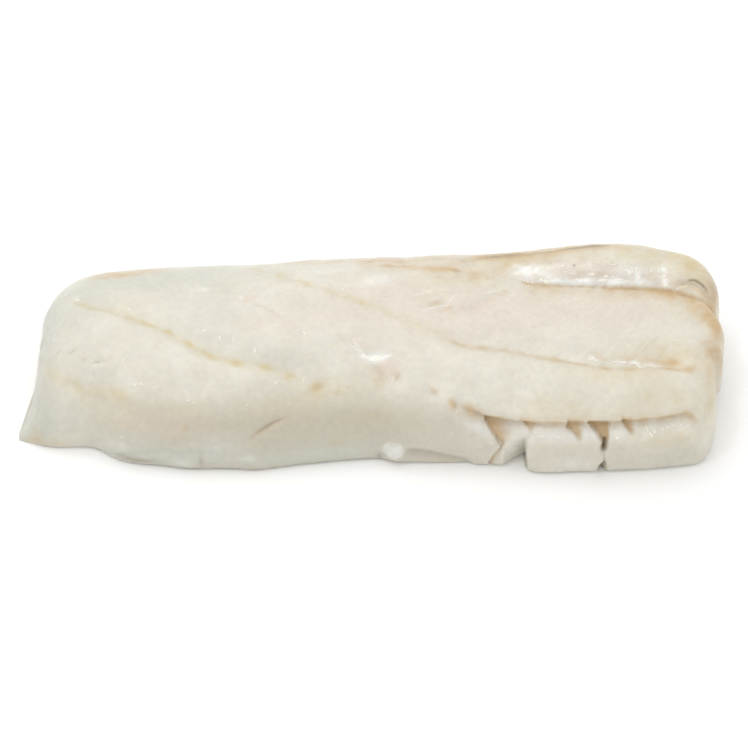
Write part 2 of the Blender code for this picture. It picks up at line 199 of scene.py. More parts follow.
seams = [
    {"name": "tapered upper seam", "valley": 1.3, "core": 0.15, "reach": (2.6, 6.0), "fade": 12,
     "bulge": 0.9, "path": [(-114, 74), (-102, 60.5), (-88, 54.6), (-80, 50.4), (-72, 45.3), (-64.6, 39.8),
                            (-57, 34.4), (-48, 31.2), (-37, 28), (-28, 24.6), (-19, 20.4)]},
    {"name": "tapered lower seam", "valley": 0.5, "core": 0.1, "reach": (3.0, 3.0), "fade": 10,
     "bulge": 0.0, "path": [(-117, 42), (-107, 26), (-98, 18), (-85, 16), (-69, 10)]},
    {"name": "long thin seam", "valley": 0.35, "core": 0.12, "reach": (2.0, 3.0), "fade": 12,
     "bulge": 0.3, "path": [(-50, 79), (-39, 74), (-25, 65), (-7, 53), (10, 41.5), (21, 35), (32, 28)]},
    {"name": "deep seam", "valley": 1.9, "core": 0.25, "reach": (2.4, 8.0), "fade": 13,
     "bulge": 0.8, "path": [(20, 33), (33, 28.5), (50, 25.2), (66, 23.2), (85, 21.8), (100, 22.2),
                            (114, 21.4)]},
    {"name": "front slit", "valley": 0.5, "core": 0.6, "reach": (1.3, 2.2), "fade": 5,
     "bulge": 0.0, "path": [(-44, 9), (-38, 11.8), (-34, 13.2), (-28, 14.2)]},
    {"name": "slit in the rolled flap", "valley": 0.3, "core": 1.0, "reach": (1.0, 1.2), "fade": 4,
     "bulge": 0.0, "path": [(106, 50.5), (111, 54.2), (115, 54.8), (119, 52.5), (123, 50)]},
    {"name": "torn membrane", "valley": 0.3, "core": 0.3, "reach": (1.2, 1.6), "fade": 5,
     "bulge": 0.0, "path": [(-14, 38), (-7, 31.8), (0, 27.8), (7, 27.3)]},
]
seamPaths = {seam["name"]: seam["path"] for seam in seams}

# The rolled flap along the back of the blunt end. Its path is the crease in front of it.
flap = {
    "path": [(38, 61), (45, 58.2), (50.4, 55.6), (53, 54.6), (57, 54.1), (61.4, 53.6), (66.8, 52.8),
             (74, 51.8), (82.5, 50.8), (91, 49.9), (97.5, 50.1), (104, 49.9), (109, 49.5), (112, 49.4),
             (115, 49.7), (119, 51), (124, 52)],
    "height": 3.2,
    "front": 4.6,
    "fade": 34,
    "back": (14, 52),  # mm behind the crease, where the roll sinks into the flesh again
    "crease": 0.7,
    "creaseWidth": 0.8,
    "dipWidth": 6.0,
}

# The lip of the long band, which stands over the ends of its flakes
lip = {
    "path": [(27, 15.3), (34, 13.7), (41, 11.9), (47, 11.4), (60, 11.7), (72, 11.8), (83, 12), (92.7, 12.4),
             (98.7, 12.7), (102, 13), (105, 13.4), (107, 13.6), (109, 13.2), (111, 12.5), (114, 11.5)],
    "undercut": 3.2,
    "edge": (-0.3, 0.5),
    "slope": 8.0,
    "fade": 12,
    "rim": 0.7,
    "rimAway": 1.6,
    "rimWidth": 2.2,
}

# Shallow hollows that run along the foot
underEdges = [
    {"path": [(-94, 1.8), (-86, 3.2), (-81, 4.6), (-76, 5.4), (-72, 5.9), (-68, 5.4), (-63, 6.2),
              (-57, 6.6), (-51, 4.6)], "depth": 0.8, "width": 1.2, "fade": 6},
    {"path": [(9, 3.8), (19, 3), (27, 1.8), (36, 0.5)], "depth": 1.6, "width": 1.8, "fade": 4},
]

# Gapes between the flakes under the lip. Both sides are (girth, X) lines; the left side is the cliff
# and the floor rises to the right side, evenly for a rise of 1 and late for a larger one. The tint says
# where on the way to the cliff the dark colour starts and is full, and the tone how strong it is. This
# dark colour is the gape's own brown with painted shade over it, darkest at the deep cliff.
gapes = [
    {"left": [(5.7, 44.3), (7.7, 41.9), (9.3, 39.9), (10.7, 38.8), (12.0, 38.0)],
     "right": [(5.7, 45.9), (7.0, 48.4), (9.0, 49.6), (12.0, 48.0)], "depth": 2.3, "rise": 1.5,
     "tint": (0.05, 0.85)},
    {"left": [(9.4, 52.6), (10.6, 51.4), (11.8, 49.8)],
     "right": [(9.4, 53.4), (11.8, 56.2)], "depth": 0.9, "rise": 1.5},
    {"left": [(8.1, 70.6), (9.3, 68.6), (10.0, 67.4), (10.7, 66.0), (11.1, 66.3), (12.3, 66.4)],
     "right": [(8.1, 71.3), (10.0, 72.6), (12.3, 72.6)], "depth": 1.7, "rise": 1.6},
    {"left": [(7.1, 79.2), (7.9, 78.6), (9.0, 77.0), (10.0, 75.7), (11.0, 74.2), (12.0, 73.1)],
     "right": [(7.1, 80.1), (9.0, 80.9), (12.0, 81.0)], "depth": 2.8, "rise": 5.0},
    {"left": [(9.1, 88.6), (10.0, 87.3), (11.0, 86.1), (12.7, 84.4)],
     "right": [(9.1, 89.2), (10.0, 90.0), (12.7, 89.6)], "depth": 1.8, "rise": 1.6},
    {"left": [(-0.6, 39.1), (1.0, 39.8), (2.7, 40.9), (4.3, 42.6), (6.2, 44.3)],
     "right": [(-0.6, 41.5), (1.0, 42.4), (3.0, 43.8), (4.7, 44.6), (6.2, 45.2)], "depth": 1.5, "rise": 1.2,
     "tone": 0.55},
]

# The shape that all gapes share: how ragged the cliff is, and over how much it and the ends ease in
gapeForm = {
    "ragged": 0.25,
    "raggedSize": 0.9,
    "raggedRow": 7,
    "seed": 29,
    "leastWidth": 0.2,
    "cliff": (-0.15, 0.45),  # mm from the left side
    "foot": (-0.3, 0.8),  # girth from the lowest place of the left side
    "top": (-0.4, 0.4),  # girth from its highest place
}

# A crack that runs on down from the widest gape: (girth, X), (girth, mm wide) and (girth, mm deep)
crack = {
    "path": [(0.0, 79.5), (1.6, 79.2), (3.2, 79.8), (4.8, 79.5), (6.4, 79.2), (8.4, 79.6)],
    "width": [(0.0, 1.3), (2.2, 1.0), (3.4, 0.4), (5.4, 0.4), (6.2, 0.9), (8.4, 0.9)],
    "depth": [(0.0, 2.8), (2.6, 2.0), (3.6, 0.5), (5.2, 0.4), (6.2, 2.2), (7.2, 2.4), (8.1, 0.0)],
    "top": 9.0,
}

# A flake that stands proud: the flesh on its left runs back to its edge, a (girth, X) line
proudFlake = {
    "start": 45.0,
    "edge": [(0, 52.9), (6.5, 52.2), (11, 54)],
    "sharp": 1.0,
    "depth": 7.8,
    "bottom": 1.0,
    "top": 11.0,
}

# Dents and swellings: (X, girth), half length and half width in mm, turn in degrees, height in mm
dents = [
    {"at": (-105.0, 36.0), "size": (2.6, 1.1), "turn": 25, "height": -0.5},
    {"at": (-96.0, 30.2), "size": (3.0, 1.2), "turn": 12, "height": -0.5},
    {"at": (2.3, 22.6), "size": (4.2, 1.2), "turn": -60, "height": -0.9},
    {"at": (8.2, 21.2), "size": (2.6, 1.0), "turn": -50, "height": -0.7},
    {"at": (20.0, 17.0), "size": (2.4, 0.9), "turn": -45, "height": -0.6},
    {"at": (28.0, 14.4), "size": (1.0, 2.2), "turn": 0, "height": -1.2},
    {"at": (21.8, 46.2), "size": (4.2, 1.4), "turn": 14, "height": -0.7},
    {"at": (37.5, 43.2), "size": (11.0, 2.8), "turn": 24, "height": -0.8},
    {"at": (-19.0, 20.2), "size": (2.2, 1.8), "turn": 0, "height": -0.5},
    {"at": (7.6, 3.0), "size": (4.0, 3.2), "turn": 0, "height": 2.4},
    {"at": (122.0, 43.5), "size": (7.0, 6.5), "turn": 0, "height": 2.2},
    {"at": (-18.1, 78.0), "size": (3.0, 6.0), "turn": 0, "height": -0.5},
    {"at": (-1.4, 76.0), "size": (3.0, 6.0), "turn": 0, "height": -0.5},
    {"at": (10.6, 73.0), "size": (3.2, 7.0), "turn": 0, "height": -1.3},
    {"at": (34.8, 68.0), "size": (4.5, 6.0), "turn": 0, "height": -2.2},
    {"at": (67.0, 69.0), "size": (6.0, 7.0), "turn": 0, "height": -0.6},
    {"at": (104.5, 66.0), "size": (4.5, 8.0), "turn": 0, "height": -1.3},
]

# Finer relief that only shows close to: thin white sheets between the flakes, and small lumps
septa = {
    "groove": 0.03,
    "width": 0.45,
    "wander": (7.0, 31, 0.9),  # size, seed and mm
    "upperBand": {"spacing": 8.4, "leanLeft": 1.45, "leanRight": 0.65, "leanTurns": (55, 100),
                  "start": (40, 60), "end": (106, 114), "aboveSeam": (0.5, 4), "belowFlap": (1.5, 5)},
    "longBand": {"spacing": 9.5, "lean": -0.32, "strength": 0.6,
                 "start": (25, 45), "end": (104, 112), "inside": (1.5, 4)},
    "fineLumps": [(2.6, 0.06), (1.3, 0.035)],
    "fineSeed": 50,
}

# Rings of flakes round two centres, in (Y, Z), on the cut end walls
cutEnds = {
    "flake": 6.5,
    "ridge": 0.15,
    "ridgeWidth": 0.7,
    "centres": [(-14.0, 4.0), (24.0, 8.0)],
    "flatness": 1.35,
    "wander": (6.0, 41, 0.8),
    "wall": (0.02, 0.2),  # share of the height that is lost
}

# How far the fibres shift along X for each mm up the skin
fibres = {
    "upperBand": 0.9,
    "longBand": -0.3,
    "taperedEnd": 2.2,
    "aboveSeam": (-1, 3),
    "bandStart": (5, 45),
    "taperedEndStops": (-40, 20),
    "noShiftAt": 50,  # mm up from the front foot, for the tapered end
}


def spaced(start, stop, knots):
    # places from start to stop with the spacing that the knots give
    fine = np.linspace(start, stop, fineness["samples"])
    count = np.concatenate([[0], np.cumsum(np.diff(fine) / smoothLine(knots, fine[1:]))])
    return np.interp(np.linspace(0, count[-1], int(count[-1]) + 1), count, fine)


def endProfile(rounding, squareness):
    # an end wall from its shoulder down: how far out and what share of the height is left
    angle = np.linspace(0, math.pi / 2 - fineness["endGap"], fineness["endSamples"])
    out, up = np.sin(angle) ** (2 / squareness), np.cos(angle) ** (2 / squareness)
    steps = np.hypot(np.diff(out) * rounding, np.diff(up) * fineness["endHeight"])
    walked = np.concatenate([[0], np.cumsum(steps)])
    even = np.linspace(0, walked[-1], int(walked[-1] / fineness["endSpacing"]) + 1)[1:]
    return np.interp(even, walked, out), np.interp(even, walked, up)


def ringPlaces():
    # X and share of the full height of every ring, from the tapered end to the blunt end
    start = fillet["taperedEnd"] + fillet["taperedRounding"]
    stop = fillet["bluntEnd"] - fillet["bluntRounding"]
    tapered, taperedUp = endProfile(fillet["taperedRounding"], fillet["taperedSquareness"])
    blunt, bluntUp = endProfile(fillet["bluntRounding"], fillet["bluntSquareness"])
    middle = spaced(start, stop, fineness["rings"])
    x = np.concatenate([start - tapered[::-1] * fillet["taperedRounding"], middle,
                        stop + blunt * fillet["bluntRounding"]])
    return x, np.concatenate([taperedUp[::-1], np.ones(len(middle)), bluntUp])


def girthPlaces():
    share = fineness["girthLength"] / 100
    return spaced(0, 100, [(girth, step / share) for girth, step in fineness["girth"]])


def bodyGrid(x, heightShare, girth):
    # the plain body: rings along X, steps from the front foot over the crown to the back foot
    x = np.repeat(x[:, None], len(girth), 1)
    turn = math.pi * girth[None, :] / 100
    front, back = smoothLine(fillet["frontEdge"], x), smoothLine(fillet["backEdge"], x)
    crown = front + (back - front) * smoothLine(fillet["crownShare"], x)
    inFront = turn < math.pi / 2
    half = np.where(inFront, crown - front, back - crown)
    power = np.where(inFront, smoothLine(fillet["frontSquareness"], x),
                     smoothLine(fillet["backSquareness"], x))
    across, up = np.abs(np.cos(turn)), np.sin(turn)
    height = smoothLine(fillet["crownHeight"], x)
    reach = ((across / half) ** power + (up / height) ** power) ** (-1 / power)
    y = crown + np.where(inFront, -1, 1) * reach * across
    return np.stack([x, y, reach * up * heightShare[:, None]], -1)


def normalsOf(grid):
    normal = np.cross(np.gradient(grid, axis=0), np.gradient(grid, axis=1))
    return normal / np.maximum(np.linalg.norm(normal, axis=-1, keepdims=True), 1e-9)


class Skin:
    # where each grid point lies: x, girth, and arc, the mm walked up from the front foot
    def __init__(self, grid, heightShare, girth):
        self.grid = grid
        self.heightShare = heightShare
        self.x = grid[..., 0]
        self.girthAxis = girth
        self.girth = np.repeat(girth[None, :], len(grid), 0)
        full = grid.copy()
        full[..., 2] /= heightShare[:, None]
        steps = np.linalg.norm(np.diff(full, axis=1), axis=-1)
        self.arc = np.concatenate([np.zeros((len(grid), 1)), np.cumsum(steps, 1)], 1)
        self.normal = normalsOf(grid)

    def arcOf(self, girth):
        # the arc of one girth on each ring
        place = np.interp(np.clip(girth, 0, 100), self.girthAxis, np.arange(len(self.girthAxis)))
        low = np.floor(place).astype(int)
        high = np.minimum(low + 1, len(self.girthAxis) - 1)
        rows = np.arange(len(self.arc))
        return self.arc[rows, low] + (place - low) * (self.arc[rows, high] - self.arc[rows, low])

    def across(self, path):
        # signed mm from a line along the fillet, positive towards the back
        line = self.arcOf(smoothLine(path, self.x[:, 0]))
        slope = np.gradient(line, self.x[:, 0])
        return (self.arc - line[:, None]) / np.sqrt(1 + slope ** 2)[:, None]

    def along(self, path, fade):
        # 1 on the way along a path and less over the fade at both of its ends
        return ease(self.x, path[0][0], path[0][0] + fade) * ease(-self.x, -path[-1][0], fade - path[-1][0])

    def around(self, at, size, turn):
        # 0 at a place and 1 at the edge of an oval round it
        middle = self.arcOf(np.full(len(self.arc), at[1]))
        u, v = self.x - at[0], self.arc - middle[:, None]
        c, s = math.cos(math.radians(turn)), math.sin(math.radians(turn))
        return np.hypot((u * c + v * s) / size[0], (v * c - u * s) / size[1])

    def spot(self, at, size, turn):
        return bell(self.around(at, size, turn), 0, 1)

    def uneven(self, size, seed):
        # lumps that lie on the skin, about size across
        return lumps(self.x + fillet["lumpShift"], self.arc, size, seed)


def seamRelief(skin, seam):
    off, weight = skin.across(seam["path"]), skin.along(seam["path"], seam["fade"])
    reach = np.where(off < 0, seam["reach"][0], seam["reach"][1])
    dip = seam["valley"] * bell(off, 0, reach) + seam["core"] * peak(off, seamForm["coreWidth"])
    bulge = seam["bulge"] * bell(off, -seamForm["bulgeAway"], seamForm["bulgeWidth"])
    return weight * (bulge - dip)


def flapRelief(skin):
    off, start, edge = skin.across(flap["path"]), flap["path"][0][0], flap["creaseWidth"]
    weight = ease(skin.x, start, start + flap["fade"])
    rise = 1 - np.exp(-np.maximum(off, 0) / flap["front"])
    roll = flap["height"] * rise * (1 - ease(off, *flap["back"]))
    before = bell(np.minimum(off, 0), 0, flap["dipWidth"]) * ease(-off, -edge, edge)
    return weight * (roll - flap["crease"] * (peak(off, edge) + before))


def lipRelief(skin):
    off, weight = skin.across(lip["path"]), skin.along(lip["path"], lip["fade"])
    under = lip["undercut"] * (1 - ease(-off, 0, lip["slope"])) * ease(-off, *lip["edge"])
    return weight * (lip["rim"] * bell(off, lip["rimAway"], lip["rimWidth"]) - under)


def gapeOpening(skin, gape):
    # 1 inside, and the share of the way from the rising side to the foot of the cliff
    lowest, highest = gape["left"][0][0], gape["left"][-1][0]
    left, right = smoothLine(gape["left"], skin.girth), smoothLine(gape["right"], skin.girth)
    row = np.full_like(skin.x, gapeForm["raggedRow"])
    ragged = gapeForm["ragged"] * lumps(skin.arc, row, gapeForm["raggedSize"], gapeForm["seed"])
    fromCliff = skin.x - left - ragged
    share = fromCliff / (right - left + gapeForm["leastWidth"])
    aboveFoot = ease(skin.girth - lowest, *gapeForm["foot"])
    inside = aboveFoot * (1 - ease(skin.girth - highest, *gapeForm["top"]))
    return ease(fromCliff, *gapeForm["cliff"]) * inside, np.clip(1 - share, 0, 1)


def crackOpening(skin):
    # mm deep: most down the middle of the crack, less up both of its sides
    middle, width, depth = (smoothLine(crack[name], skin.girth) for name in ("path", "width", "depth"))
    return bell(skin.x, middle, width) * depth * (skin.girth < crack["top"])


def runInBeforeProudFlake(skin):
    # mm that the flesh left of the flake runs back, most at the flake's edge
    edge = smoothLine(proudFlake["edge"], skin.girth)
    runIn = np.clip((skin.x - proudFlake["start"]) / (edge - proudFlake["start"]), 0, 1)
    runIn *= 1 - ease(skin.x, edge, edge + proudFlake["sharp"])
    return proudFlake["depth"] * runIn * (1 - ease(skin.girth, proudFlake["bottom"], proudFlake["top"]))


def lineAt(phase, spacing, width):
    # 1 on each line of a row that is spacing apart
    return bell((phase - np.round(phase)) * spacing, 0, width)


def fibreLean(skin):
    # forward in the upper band, a little back in the long band and most at the tapered end
    deep, rim = skin.across(seamPaths["deep seam"]), skin.across(lip["path"])
    bands = ease(skin.x, *fibres["bandStart"])
    upper = fibres["upperBand"] * ease(deep, *fibres["aboveSeam"]) * bands
    long = fibres["longBand"] * ease(-deep, *fibres["aboveSeam"]) * bands
    left = fibres["taperedEnd"] * (1 - ease(skin.x, *fibres["taperedEndStops"]))
    return upper * deep + long * rim + left * (skin.arc - fibres["noShiftAt"])


def septaLines(skin):
    # thin white sheets between the flakes, where they meet the surface
    upper, long = septa["upperBand"], septa["longBand"]
    size, seed, reach = septa["wander"]
    wander = reach * skin.uneven(size, seed)
    deep, edge, rim = (skin.across(path) for path in (seamPaths["deep seam"], flap["path"], lip["path"]))

    turned = ease(skin.x, *upper["leanTurns"])
    lean = upper["leanLeft"] + (upper["leanRight"] - upper["leanLeft"]) * turned
    inUpper = ease(deep, *upper["aboveSeam"]) * ease(-edge, *upper["belowFlap"])
    inUpper *= between(skin.x, upper["start"], upper["end"])
    lines = lineAt((skin.x - lean * deep + wander) / upper["spacing"], upper["spacing"], septa["width"])

    inLong = ease(rim, *long["inside"]) * ease(-deep, *long["inside"])
    inLong *= between(skin.x, long["start"], long["end"])
    phase = (skin.x - long["lean"] * rim + wander) / long["spacing"]
    longLines = long["strength"] * lineAt(phase, long["spacing"], septa["width"])
    return lines * inUpper + longLines * inLong


def cutEndLines(skin):
    # rings of flakes on the two cut end walls
    wall = ease(1 - skin.heightShare, *cutEnds["wall"])[:, None]
    y, z = skin.grid[..., 1], skin.grid[..., 2]
    away = np.minimum(*[np.hypot(y - cy, (z - cz) * cutEnds["flatness"]) for cy, cz in cutEnds["centres"]])
    size, seed, reach = cutEnds["wander"]
    wander = reach * lumps(y + fillet["lumpShift"], z, size, seed)
    return lineAt((away + wander) / cutEnds["flake"], cutEnds["flake"], cutEnds["ridgeWidth"]) * wall


def fleshRelief(skin):
    total = sum(height * skin.uneven(size, seed) for seed, (size, height) in enumerate(fillet["lumps"]))
    total += sum(seamRelief(skin, seam) for seam in seams)
    total += flapRelief(skin) + lipRelief(skin)
    for edge in underEdges:
        dip = bell(skin.across(edge["path"]), 0, edge["width"]) * skin.along(edge["path"], edge["fade"])
        total -= edge["depth"] * dip
    for gape in gapes:
        inside, share = gapeOpening(skin, gape)
        total -= gape["depth"] * inside * (1 - (1 - share) ** gape["rise"])
    total -= crackOpening(skin)
    total += sum(dent["height"] * skin.spot(dent["at"], dent["size"], dent["turn"]) for dent in dents)
    total += sum(height * skin.uneven(size, septa["fineSeed"] + seed)
                 for seed, (size, height) in enumerate(septa["fineLumps"]))
    return total - septa["groove"] * septaLines(skin) - cutEnds["ridge"] * cutEndLines(skin)


def shapeEnds(points, girth):
    # tucks the foot under, runs the thin tip out and sets back the lower front of the blunt end
    x, y, z = points[..., 0].copy(), points[..., 1].copy(), points[..., 2]
    tipFront, tipBack = fillet["tipY"]
    tipMiddle = tipFront + fillet["tipWidth"]
    tip = between(y, (tipFront, tipMiddle), (tipMiddle, tipBack))
    tip *= np.exp(-(x - fillet["taperedEnd"]).clip(0) / fillet["tipLength"])
    radius = fillet["footRadius"]
    tuck = radius - np.sqrt(radius ** 2 - np.clip(radius - z, 0, radius) ** 2)
    tuck *= 1 - fillet["tipSharpness"] * tip
    middleX = (fillet["taperedEnd"] + fillet["bluntEnd"]) / 2
    x -= (x - middleX) * tuck / (fillet["bluntEnd"] - middleX)
    y -= (y - fillet["middleY"]) * tuck / fillet["halfWidth"]
    x -= fillet["tipReach"] * np.exp(-z / fillet["tipHeight"]) * tip
    atEnd = ease(x - fillet["bluntEnd"], *fillet["bluntStepStart"])
    edge = fillet["bluntStepEdge"]
    belowStep = 1 - ease(girth - fillet["bluntStepGirth"], -edge, edge)
    setBack = np.concatenate([belowStep, np.linspace(0, 1, fineness["bottomSteps"])])
    x -= fillet["bluntStep"] * atEnd * setBack[None, :]
    return np.stack([x, y, z], -1)


def withBottom(upper):
    # the flat underside runs straight from the back foot to the front foot
    share = np.linspace(0, 1, fineness["bottomSteps"] + 2)[1:-1, None]
    bottom = upper[:, -1:, :] * (1 - share) + upper[:, :1, :] * share
    bottom[..., 2] = 0.0
    return np.concatenate([upper, bottom], 1)


def fleshPoints():
    x, heightShare = ringPlaces()
    girth = girthPlaces()
    skin = Skin(bodyGrid(x, heightShare, girth), heightShare, girth)
    upper = skin.grid + skin.normal * fleshRelief(skin)[..., None]
    upper[..., 1] += runInBeforeProudFlake(skin)
    upper[..., 2] = np.maximum(upper[..., 2], 0.0)
    upper[:, [0, -1], 2] = 0.0
    points = shapeEnds(withBottom(upper), girth)
    low, high = points.min((0, 1)), points.max((0, 1))
    return skin, points - np.array([(low[0] + high[0]) / 2, (low[1] + high[1]) / 2, low[2]])
